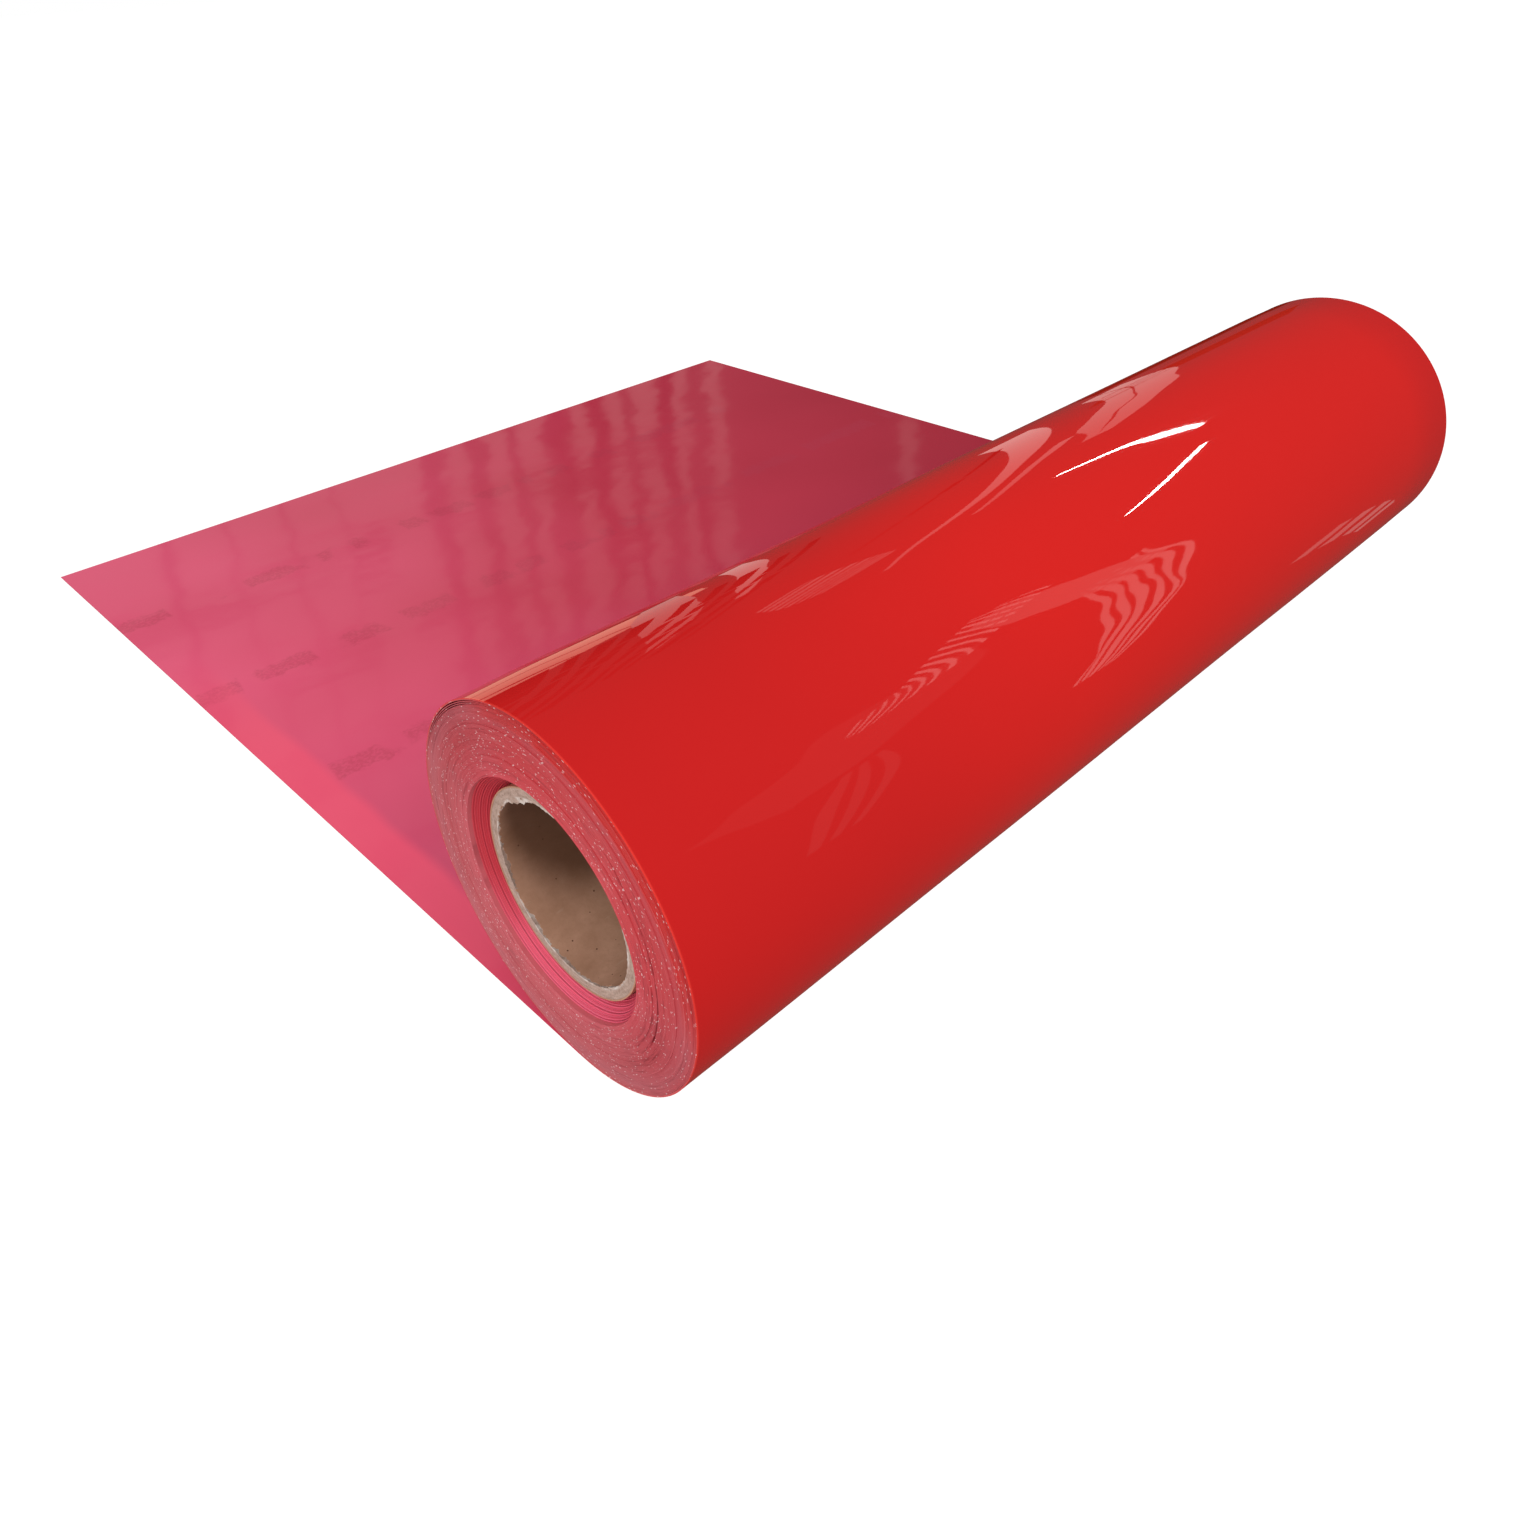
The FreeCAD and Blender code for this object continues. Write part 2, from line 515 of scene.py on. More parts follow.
@dataclass(frozen=True)
class ReleaseLiner:
    """Siliconed clear liner on the film's back: the red shows through it as a soft crimson.

    It is glossy but not as flat as the film, so reflections waver in it. Its colour holds painted light and
    shade: paler at the near end and towards the tail, darker at the far end and next to the roll, with wavy
    painted light bands and a painted reflection band along the near edge.
    """

    # painted light and shade: left, middle and right go from the pale near end to the dark far end, paler
    # towards the tail
    left: str = "e4567a"
    middle: str = "c23a50"
    right: str = "a82739"
    # painted reflection: the bright band along the liner's near edge
    near_edge_reflection: str = "ec5473"
    smudge: str = "b23a50"
    # painted shade: the darker colour of the liner next to the roll
    shade_by_the_roll: str = "a03a5a"
    reflection_band_mm: float = 19.0
    reflection_reach_mm: float = 380.0
    row_pitch_mm: float = 127.0
    row_mm: float = 8.0
    # painted light: size of the wavy lighter and darker bands on the liner
    light_band_mm: float = 130.0
    roll_shade_mm: tuple[float, float] = (330.0, 60.0)
    cockle_mm: float = 38.0
    cockle_height_mm: float = 0.34
    slow_mm: float = 110.0
    slow_height_mm: float = 0.9
    roughness: float = 0.085
    ior: float = 1.5

    def material(self, place: RollPlace) -> bpy.types.Material:
        """Build the liner's material.

        Args:
            place: Gives the web's edges, its tail and the roll's axis.

        Returns:
            The material.
        """
        s = Shader("siliconed_release_liner")
        where = s.add("ShaderNodeTexCoord")
        spot = (where, "Object")
        split = s.add("ShaderNodeSeparateXYZ", {0: spot})
        near = s.math("SUBTRACT", (split, "X"), place.near)
        back = s.math("SUBTRACT", (split, "Y"), place.axis_y)
        # painted light and shade: paler at the near end and towards the tail, darker at the far end by the
        # roll
        share = s.math("MULTIPLY", near, 1 / (place.far - place.near))
        tailward = s.math("MULTIPLY_ADD", back, -0.58 / (place.tail - place.axis_y), 1.0)
        share = s.math("MULTIPLY", share, tailward)
        # painted light: wavy lighter and darker bands across the liner
        light_bands = s.noise(spot, 1 / (self.light_band_mm * MM), 1.5)
        shade = s.math("MULTIPLY_ADD", light_bands, 0.22, share)
        body = (s.ramp(shade, [(0.1, self.left), (0.42, self.middle), (0.88, self.right)]), "Color")
        start, end = (mm * MM for mm in self.roll_shade_mm)
        # painted shade: the liner darkens next to the roll
        roll_shade = s.math("MULTIPLY", s.fade(back, start, end), 0.4)
        body = s.mix(roll_shade, body, linear(self.shade_by_the_roll))
        body = s.mix(self.smudges(s, spot, back), body, linear(self.smudge))
        # painted reflection: a bright band along the near edge, fading out away from the roll
        wander = s.noise(spot, 1 / (70 * MM), 2.0)
        line = s.math("MULTIPLY_ADD", wander, 8 * MM, near)
        band = s.fade(line, (self.reflection_band_mm + 9) * MM, (self.reflection_band_mm + 1) * MM)
        reach = s.fade(back, (self.reflection_reach_mm + 60) * MM, (self.reflection_reach_mm - 90) * MM)
        strength = s.math("MULTIPLY", s.math("MULTIPLY", band, reach), 0.95)
        s.link(*s.mix(strength, body, linear(self.near_edge_reflection)), s.skin, "Base Color")
        stretched = s.add("ShaderNodeMapping", {"Vector": spot, "Scale": (0.8, 1.0, 1.0)})
        cockle = s.noise((stretched, 0), 1 / (self.cockle_mm * MM), 1.5)
        slow = s.noise(spot, 1 / (self.slow_mm * MM), 1.0)
        bump = s.bump(cockle, self.cockle_height_mm * MM)
        bump = s.bump(slow, self.slow_height_mm * MM, 1.0, bump)
        s.link(*bump, s.skin, "Normal")
        s.skin.inputs["Roughness"].default_value = self.roughness
        s.skin.inputs["IOR"].default_value = self.ior
        return s.material

    def smudges(self, s: Shader, spot: Output, back: Output) -> Output:
        """Rows of faint dark smudges across the liner, set off from the turn above.

        Args:
            s: The shader being built.
            spot: Output that gives a point's place.
            back: Output that gives the distance from the roll's axis.

        Returns:
            Node and output of their strength.
        """
        rows = s.math("MULTIPLY_ADD", back, 1 / (self.row_pitch_mm * MM), 0.57)
        off = s.math("ABSOLUTE", s.math("SUBTRACT", s.math("FRACT", rows), 0.5))
        drift = s.noise(spot, 1 / (9 * MM), 3.0, 0.65)
        off = s.math("MULTIPLY_ADD", s.math("SUBTRACT", drift, 0.5), 0.14, off)
        half = self.row_mm / self.row_pitch_mm
        row = s.fade(off, half * 1.25, half * 0.75)
        wide = s.add("ShaderNodeMapping", {"Vector": spot, "Scale": (1.0, 0.25, 1.0)})
        marks = s.fade(s.noise((wide, 0), 1 / (24 * MM), 1.0), 0.44, 0.5)
        grain = s.fade(s.noise(spot, 1 / (2.2 * MM), 2.0, 0.7), 0.35, 0.6)
        return s.math("MULTIPLY", s.math("MULTIPLY", row, marks), s.math("MULTIPLY_ADD", grain, 0.28, 0.12))


@dataclass(frozen=True)
class SlitEdges:
    """Slit edges of hundreds of turns: satin, finely ringed, with dust and cut adhesive.

    Real turns are 0.3 mm thick, too fine to show, so the rings are drawn coarser. Painted shade darkens the
    grooves between rings, the crack and the broken arcs beside it, and painted highlights lighten the ridges.
    """

    rings: tuple[tuple[float, str], ...] = (
        (49.5, "dd5e6a"),
        (54.0, "d35862"),
        (60.5, "ce555e"),
        (65.0, "c95159"),
        (70.0, "cb5962"),
        (75.0, "c7636c"),
        (78.0, "ce5961"),
        (79.2, "d94e50"),
    )
    red: str = "ce2e2d"
    # paler colour for the back of the end face
    pale_back: str = "c88a92"
    # painted shade: the dark colour in the grooves between rings
    groove_shade: str = "8e3038"
    # painted highlight: the light colour on the ridges
    ridge: str = "dc8289"
    clouded: str = "a4565e"
    # painted shade: the dark line in the crack between parted turns
    crack: str = "8a1e26"
    # painted shade: the dark broken arcs beside the crack
    broken_arc_shade: str = "94323a"
    dust: str = "f2cfd0"
    red_at: float = math.radians(220)
    red_from_mm: tuple[float, float] = (73.6, 75.8)
    dust_from_mm: float = 50.0
    cloud_mm: float = 17.0
    arc_pitch_mm: float = 0.7
    ring_mm: float = 0.9
    wander_mm: float = 1.7
    speck_mm: float = 1.7
    fibre_mm: float = 0.85

    def material(self, place: RollPlace) -> bpy.types.Material:
        """Build the end face's material.

        Args:
            place: Gives the axis.

        Returns:
            The material.
        """
        s = Shader("slit_web_edges")
        axis = s.round_axis(place)
        rings = s.noise(s.ring_space(axis, self.ring_mm * MM, 2.5), 1.0, 3.0, 0.6)
        body = self.zones(s, axis)
        body = self.relief(s, axis, body, rings)
        body = self.parted_turns(s, axis, body)
        body = self.specks(s, axis, body)
        s.link(*body, s.skin, "Base Color")
        s.link(*s.bump(rings, 0.25 * MM, 0.8), s.skin, "Normal")
        s.skin.inputs["Roughness"].default_value = 0.45
        return s.material

    def zones(self, s: Shader, axis: AxisNodes) -> Output:
        """Colour the face by radius, with a redder front and a paler back.

        Args:
            s: The shader being built.
            axis: Place round the axis.

        Returns:
            The colour.
        """
        inner, outer = self.rings[0][0] * MM, self.rings[-1][0] * MM
        wander = s.noise(s.ring_space(axis, 8 * MM, 1.6), 1.0, 2.0)
        place_in = s.math("MULTIPLY_ADD", wander, 2 * self.wander_mm * MM, axis.radius)
        share = s.add(
            "ShaderNodeMapRange",
            {
                "Value": place_in,
                "From Min": inner + self.wander_mm * MM,
                "From Max": outer + self.wander_mm * MM,
            },
        )
        span = outer - inner
        stops = [((r * MM - inner) / span, colour) for r, colour in self.rings]
        body = (s.ramp((share, 0), stops), "Color")
        forward = s.math("MULTIPLY", axis.z, -math.cos(self.red_at))
        toward = s.math("MULTIPLY_ADD", axis.y, math.sin(self.red_at), forward)
        front = s.fade(toward, 0.35, 0.8)
        band = s.fade(place_in, *(mm * MM for mm in self.red_from_mm))
        red = s.math("MULTIPLY", s.math("MULTIPLY", band, front), 0.92)
        body = s.mix(red, body, linear(self.red))
        body = s.mix(s.math("MULTIPLY", front, 0.4), body, linear(self.red))
        # the back of the face is painted paler
        behind = s.math("MULTIPLY", s.fade(toward, 0.25, -0.4), 0.2)
        return s.mix(behind, body, linear(self.pale_back))

    def relief(self, s: Shader, axis: AxisNodes, body: Output, rings: Output) -> Output:
        """Paint shade into the grooves between rings, paint highlights on the ridges and cloud the whole.

        Args:
            s: The shader being built.
            axis: Place round the axis.
            body: The colour so far.
            rings: Height of the rings.

        Returns:
            The colour.
        """
        # painted shade in the grooves and painted highlight on the ridges
        dark = s.fade(rings, 0.45, 0.33)
        body = s.mix(s.math("MULTIPLY", dark, 0.35), body, linear(self.groove_shade))
        light = s.fade(rings, 0.55, 0.72)
        body = s.mix(s.math("MULTIPLY", light, 0.3), body, linear(self.ridge))
        cloud = s.noise(axis.centred, 1 / (self.cloud_mm * MM), 3.0)
        return s.mix(s.math("MULTIPLY", s.fade(cloud, 0.5, 0.7), 0.2), body, linear(self.clouded))

    def parted_turns(self, s: Shader, axis: AxisNodes, body: Output) -> Output:
        """Paint shade as a dark line in the crack and as dark broken arcs on both sides of it.

        Args:
            s: The shader being built.
            axis: Place round the axis.
            body: The colour so far.

        Returns:
            The colour.
        """
        # painted shade: a dark line along the crack between parted turns
        off = s.math("SUBTRACT", math.pi - CRACK.at, axis.angle)
        bend = s.math("MULTIPLY", s.math("MULTIPLY", off, off), CRACK.bend_mm * MM)
        outward = s.math("SUBTRACT", s.math("SUBTRACT", axis.radius, bend), CRACK.radius_mm * MM)
        gap = s.math("ABSOLUTE", outward)
        broken = s.fade(s.noise(s.ring_space(axis, 3 * MM, 9.0), 1.0, 2.0), 0.38, 0.5)
        line = s.math("MULTIPLY", s.fade(gap, 0.5 * MM, 0.2 * MM), broken)
        reach = s.math("MULTIPLY", s.fade(off, 0.72, 0.35), s.fade(off, -1.05, -0.75))
        crack = s.math("MULTIPLY", s.math("MULTIPLY", line, reach), 0.85)
        body = s.mix(crack, body, linear(self.crack))
        # painted shade: dark broken arcs beside the crack
        arc_pitch = self.arc_pitch_mm * MM
        comb = s.math("PINGPONG", s.math("ADD", gap, arc_pitch), arc_pitch)
        parted = s.fade(s.noise(s.ring_space(axis, 1.1 * MM, 6.0), 1.0, 2.0), 0.52, 0.62)
        beside = s.math("MULTIPLY", s.fade(comb, 0.3 * MM, 0.12 * MM), parted)
        beside = s.math("MULTIPLY", beside, s.fade(gap, 6 * MM, 3 * MM))
        wider = s.math("MULTIPLY", s.fade(off, 1.1, 0.7), s.fade(off, -1.1, -0.75))
        arcs = s.math("MULTIPLY", s.math("MULTIPLY", beside, wider), 0.6)
        return s.mix(arcs, body, linear(self.broken_arc_shade))

    def specks(self, s: Shader, axis: AxisNodes, body: Output) -> Output:
        """Scatter cut fibres along the turns and dust over them.

        Args:
            s: The shader being built.
            axis: Place round the axis.
            body: The colour so far.

        Returns:
            The colour.
        """
        along = s.ring_space(axis, self.fibre_mm * MM, 26.0)
        fibres = s.add("ShaderNodeTexVoronoi", {"Vector": along, "Scale": 1.0})
        dust = {"Vector": axis.centred, "Scale": 1 / (self.speck_mm * MM)}
        specks = s.add("ShaderNodeTexVoronoi", dust)
        for cell, size, left_out in ((fibres, 0.2, 0.5), (specks, 0.125, 0.35)):
            pick = s.add("ShaderNodeSeparateColor", {0: (cell, "Color")})
            spot = s.math("MULTIPLY", s.math("LESS_THAN", (cell, 0), size), 0.85)
            shown = s.math("MULTIPLY", spot, s.math("GREATER_THAN", (pick, 0), left_out))
            on_face = s.math("GREATER_THAN", axis.radius, self.dust_from_mm * MM)
            body = s.mix(s.math("MULTIPLY", shown, on_face), body, linear(self.dust))
        return body


@dataclass(frozen=True)
class SlippedEdges:
    """Inner turns slid like a telescope: clear crimson treads with a painted shade line between.

    The treads low in the recess face up and are painted the brightest, as painted light. A line at every turn
    would be too fine to show, so there are two to every three turns.
    """

    turns_to_a_line: float = 1.5
    colour: str = "da4856"
    # painted light: the brighter colour of the lower treads
    light: str = "fc7290"
    # painted shade: the dark line between the turns
    line: str = "a82a3c"

    def material(self, place: RollPlace, inner: float, pitch: float) -> bpy.types.Material:
        """Build the slipped turns' material.

        Args:
            place: Gives the axis.
            inner: Radius of the innermost turn.
            pitch: From one turn to the next.

        Returns:
            The material.
        """
        s = Shader("slipped_web_edges")
        axis = s.round_axis(place)
        cloud = s.noise(s.ring_space(axis, 3 * MM, 2.0), 1.0, 2.0)
        # painted light: the lower treads are painted brighter
        low = s.math("MULTIPLY_ADD", axis.z, -1.0, s.math("MULTIPLY", cloud, 0.4))
        body = (s.ramp(s.fade(low, 0.35, 1.25), [(0.0, self.colour), (1.0, self.light)]), "Color")
        # painted shade: a dark line at the inner corner of each step
        steps = s.math("DIVIDE", s.math("SUBTRACT", axis.radius, inner), pitch)
        part = s.math("FRACT", s.math("DIVIDE", steps, self.turns_to_a_line))
        line = s.math("MULTIPLY", s.fade(part, 0.42, 0.16), 0.65)
        body = s.mix(line, body, linear(self.line))
        s.link(*body, s.skin, "Base Color")
        s.skin.inputs["Roughness"].default_value = 0.3
        return s.material


@dataclass(frozen=True)
class KraftPaper:
    """Brown kraft ply, machine made: matte, mottled by its fibres, with shives and scuffs, and painted shade
    deeper in from the ends and towards the bore's top.
    """

    light: str = "cc9d82"
    dark: str = "b08367"
    shive: str = "62402c"
    scuff: str = "c9a58d"
    # painted shade: the dark brown deeper in from the ends and towards the bore's top
    painted_shade: str = "563420"
    seam_pitch_mm: float = 150.0
    cloud_mm: float = 14.0
    fibre_mm: float = 1.6
    shive_mm: float = 4.5
    shade_depth_mm: tuple[float, float] = (25.0, 110.0)
    bore_only_mm: tuple[float, float] = (41.0, 40.0)

    def material(self, place: RollPlace) -> bpy.types.Material:
        """Build the kraft paper's material.

        Args:
            place: Gives the axis and the web's edges.

        Returns:
            The material.
        """
        s = Shader("brown_kraft_paper")
        axis = s.round_axis(place)
        cloud = s.noise(axis.centred, 1 / (self.cloud_mm * MM), 6.0, 0.65)
        body = (s.ramp(cloud, [(0.3, self.dark), (0.7, self.light)]), "Color")
        fine = s.noise(axis.centred, 1 / (self.fibre_mm * MM), 3.0, 0.7)
        body = s.mix(s.math("MULTIPLY", s.fade(fine, 0.5, 0.75), 0.35), body, linear(self.dark))
        lines = s.add("ShaderNodeMapping", {"Vector": axis.centred, "Scale": (0.25, 1.0, 1.0)})
        scuffs = s.noise((lines, 0), 1 / (2.4 * MM), 4.0, 0.6)
        body = s.mix(s.math("MULTIPLY", s.fade(scuffs, 0.62, 0.74), 0.5), body, linear(self.scuff))
        shives = {"Vector": axis.centred, "Scale": 1 / (self.shive_mm * MM)}
        cell = s.add("ShaderNodeTexVoronoi", shives)
        pick = s.add("ShaderNodeSeparateColor", {0: (cell, "Color")})
        small = s.math("LESS_THAN", (cell, 0), 0.08)
        dot = s.math("MULTIPLY", small, s.math("GREATER_THAN", (pick, 0), 0.5))
        body = s.mix(dot, body, linear(self.shive))
        wound = s.math("MULTIPLY", axis.angle, 1 / TURN)
        helix = s.math("FRACT", s.math("MULTIPLY_ADD", axis.x, 1 / (self.seam_pitch_mm * MM), wound))
        seam = s.math("MULTIPLY", s.math("LESS_THAN", helix, 0.006), 0.6)
        body = s.mix(seam, body, linear(self.shive))
        # painted shade: darker deeper in from the ends
        from_near = s.math("SUBTRACT", axis.x, place.near)
        nearest = s.math("MINIMUM", from_near, s.math("SUBTRACT", place.far, axis.x))
        depth_shade = s.fade(nearest, *(mm * MM for mm in self.shade_depth_mm))
        depth = s.math("MULTIPLY", depth_shade, 0.8)
        body = s.mix(depth, body, linear(self.painted_shade))
        # painted shade: in the bore, darker towards its top
        roof = s.math("MULTIPLY", nearest, s.math("ADD", axis.z, 1.0))
        in_bore = s.fade(axis.radius, *(mm * MM for mm in self.bore_only_mm))
        roof_shade = s.math("MULTIPLY", s.fade(roof, 0.0, 15 * MM), in_bore)
        body = s.mix(s.math("MULTIPLY", roof_shade, 0.85), body, linear(self.painted_shade))
        s.link(*body, s.skin, "Base Color")
        s.skin.inputs["Roughness"].default_value = 0.85
        bump = s.bump(cloud, 0.25 * MM, 0.6)
        s.link(*s.bump(fine, 0.1 * MM, 0.6, bump), s.skin, "Normal")
        return s.material


@dataclass(frozen=True)
class Chipboard:
    """Grey chipboard of recycled fibre, sawn through: plies, pale torn fibres, specks."""

    light: str = "c5ab9d"
    dark: str = "9b8173"
    torn: str = "ddd2ca"
    speck: str = "6d564a"

    def material(self, place: RollPlace, inner: float) -> bpy.types.Material:
        """Build the chipboard's material.

        Args:
            place: Gives the axis.
            inner: The board's inner radius, where its fibres are torn.

        Returns:
            The material.
        """
        s = Shader("grey_chipboard")
        axis = s.round_axis(place)
        plies = s.noise(s.ring_space(axis, 0.9 * MM, 9.0), 1.0, 3.0, 0.6)
        grit = s.noise(axis.centred, 1 / (1.1 * MM), 4.0, 0.7)
        both = s.math("MULTIPLY_ADD", plies, 0.5, s.math("MULTIPLY", grit, 0.5))
        body = (s.ramp(both, [(0.36, self.dark), (0.6, self.light)]), "Color")
        cell = s.add("ShaderNodeTexVoronoi", {"Vector": axis.centred, "Scale": 1 / (1.5 * MM)})
        body = s.mix(s.math("MULTIPLY", s.math("LESS_THAN", (cell, 0), 0.16), 0.5), body, linear(self.speck))
        ragged = s.math("MULTIPLY_ADD", grit, 1.2 * MM, axis.radius)
        patchy = s.fade(s.noise(axis.centred, 1 / (7 * MM), 3.0, 0.6), 0.42, 0.6)
        rim = s.fade(ragged, inner + 1.3 * MM, inner + 0.5 * MM)
        torn = s.math("MULTIPLY", s.math("MULTIPLY", rim, patchy), 0.85)
        body = s.mix(torn, body, linear(self.torn))
        s.link(*body, s.skin, "Base Color")
        s.skin.inputs["Roughness"].default_value = 0.95
        s.link(*s.bump(both, 0.4 * MM, 0.8), s.skin, "Normal")
        return s.material


@dataclass(frozen=True)
class PackingTape:
    """Clear polypropylene packing tape with a tan adhesive, glossy and faintly streaked."""

    colour: str = "c9b184"
    dark: str = "bba172"

    def material(self, place: RollPlace) -> bpy.types.Material:
        """Build the tape's material.

        Args:
            place: Gives the axis.

        Returns:
            The material.
        """
        s = Shader("packing_tape")
        axis = s.round_axis(place)
        streaks = s.noise(s.ring_space(axis, 4 * MM, 3.0), 1.0, 2.0)
        body = s.ramp(streaks, [(0.3, self.dark), (0.7, self.colour)])
        s.link(body, "Color", s.skin, "Base Color")
        s.skin.inputs["Roughness"].default_value = 0.25
        return s.material


# ------------------------------------------------------------ sub-assemblies


@dataclass
class Web:
    """The web: the outermost turn and the length that lies on the floor."""

    place: RollPlace
    film: bpy.types.Material
    liner: bpy.types.Material
    edges: bpy.types.Material
    travel: float
    across: int = 120
    around: int = 240
    laid_across: int = 90
    laid_along: int = 110
    stop: float = math.radians(355)
    wave_mm: float = 0.6
    bulge_mm: float = 190.0
    ripple_mm: float = 0.25
    held_mm: float = 90.0
    closing_mm: float = 0.54

    def swell(self, x: float, wound: float) -> float:
        """How far the outermost turn stands off.

        Args:
            x: Place along the roll.
            wound: Angle wound from the floor.

        Returns:
            The distance in metres.
        """
        p = self.place
        clear = window(wound, math.radians(45), math.radians(315), math.radians(35))
        ends = window(x, p.near + 40 * MM, p.far - 40 * MM, 40 * MM)
        where = Vector((x / self.bulge_mm / MM, 1.1 * math.cos(wound), 1.1 * math.sin(wound)))
        wave = 0.5 + 0.5 * noise.noise(where + Vector((3.1, 0.7, 5.2)))
        small = 0.18 * noise.noise(where * 2.3)
        return self.wave_mm * MM * clear * ends * max(0.0, wave + small)

    def outer_layer(
        self, name: str, depth: float, thickness: float, closed: bool = False
    ) -> bpy.types.Object:
        """One layer of the outermost turn.

        Args:
            name: The piece's name.
            depth: How far its outside is below the roll's outside.
            thickness: The layer's thickness.
            closed: Whether its inside stays round, to lie on the turn below.

        Returns:
            The piece.
        """
        p = self.place
        step = (p.far - p.near) / self.across
        xs = [p.near + step * i for i in range(self.across + 1)]
        outer = p.radius - depth
        section = [(x, outer) for x in xs] + [(x, outer - thickness) for x in reversed(xs)]
        pitch = p.vinyl + p.liner
        inner = outer - thickness

        def shift(x: float, angle: float, r: float) -> tuple[float, float]:
            """Wind the layer inwards and let it swell.

            Args:
                x: The place along the axis, in metres.
                angle: The angle from the floor, in radians.
                r: The radius, in metres.

            Returns:
                How far the point moves along the axis and outwards, in metres.
            """
            wound = (TURN - angle) % TURN
            wind = pitch * wound / TURN
            if closed and abs(r - inner) < 0.01 * MM:
                wind = 0.0
            return 0.0, self.swell(x, wound) - wind

        return new_piece(name, spun(p, section, self.around, shift, -self.stop))

    def laid_layer(self, name: str, bottom: float, thickness: float) -> bpy.types.Object:
        """One layer of the web on the floor, from under the roll to its tail.

        Args:
            name: The piece's name.
            bottom: Its height above the floor.
            thickness: The layer's thickness.

        Returns:
            The piece.
        """
        p = self.place
        bm = bmesh.new()
        bmesh.ops.create_grid(bm, x_segments=self.laid_across, y_segments=self.laid_along, size=0.5)
        size = Vector((p.far - p.near, p.tail - p.axis_y, 1.0))
        bmesh.ops.scale(bm, vec=size, verts=bm.verts)
        middle = Vector(((p.near + p.far) / 2, (p.axis_y + p.tail) / 2, bottom))
        bmesh.ops.translate(bm, vec=middle, verts=bm.verts)
        grown = bmesh.ops.extrude_face_region(bm, geom=bm.faces[:])
        top = [v for v in grown["geom"] if isinstance(v, bmesh.types.BMVert)]
        bmesh.ops.translate(bm, vec=(0, 0, thickness), verts=top)
        for v in bm.verts:
            v.co.z += self.ripple(v.co.x, v.co.y)
        bmesh.ops.recalc_face_normals(bm, faces=bm.faces)
        return new_piece(name, bm)

    def ripple(self, x: float, y: float) -> float:
        """How far the laid web stands off the floor.

        Args:
            x: Place across the web.
            y: Place along it.

        Returns:
            The distance in metres, which is nothing under the roll.
        """
        free = min(1.0, max(0.0, (y - self.place.axis_y) / (self.held_mm * MM)))
        wave = 0.5 + 0.5 * noise.noise(Vector((x * 14, y * 7, 1.3)))
        return self.ripple_mm * MM * free * free * max(0.0, wave)

    def build(self) -> list[bpy.types.Object]:
        """Build the four layers, and hang the laid ones on the laid web's body.

        Returns:
            The four pieces, dressed.
        """
        p = self.place
        film = self.outer_layer("roll_outer_film", 0.0, p.vinyl)
        dress(film, self.film)
        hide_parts("outer_turn_vinyl")
        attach(film, "outer_turn")
        inside = self.outer_layer("roll_outer_liner", p.vinyl, p.liner + self.closing_mm * MM, True)
        dress(inside, self.edges)
        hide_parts("outer_turn_liner")
        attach(inside, "outer_turn")
        laid_film = self.laid_layer("laid_film", 0.0, p.vinyl)
        dress(laid_film, self.film)
        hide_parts("laid_vinyl")
        laid_liner = self.laid_layer("laid_release_liner", p.vinyl, p.liner)
        dress(laid_liner, self.liner)
        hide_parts("laid_liner")
        for piece in (laid_film, laid_liner):
            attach(piece, "laid_web")
            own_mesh(piece)
        return [film, inside, laid_film, laid_liner]


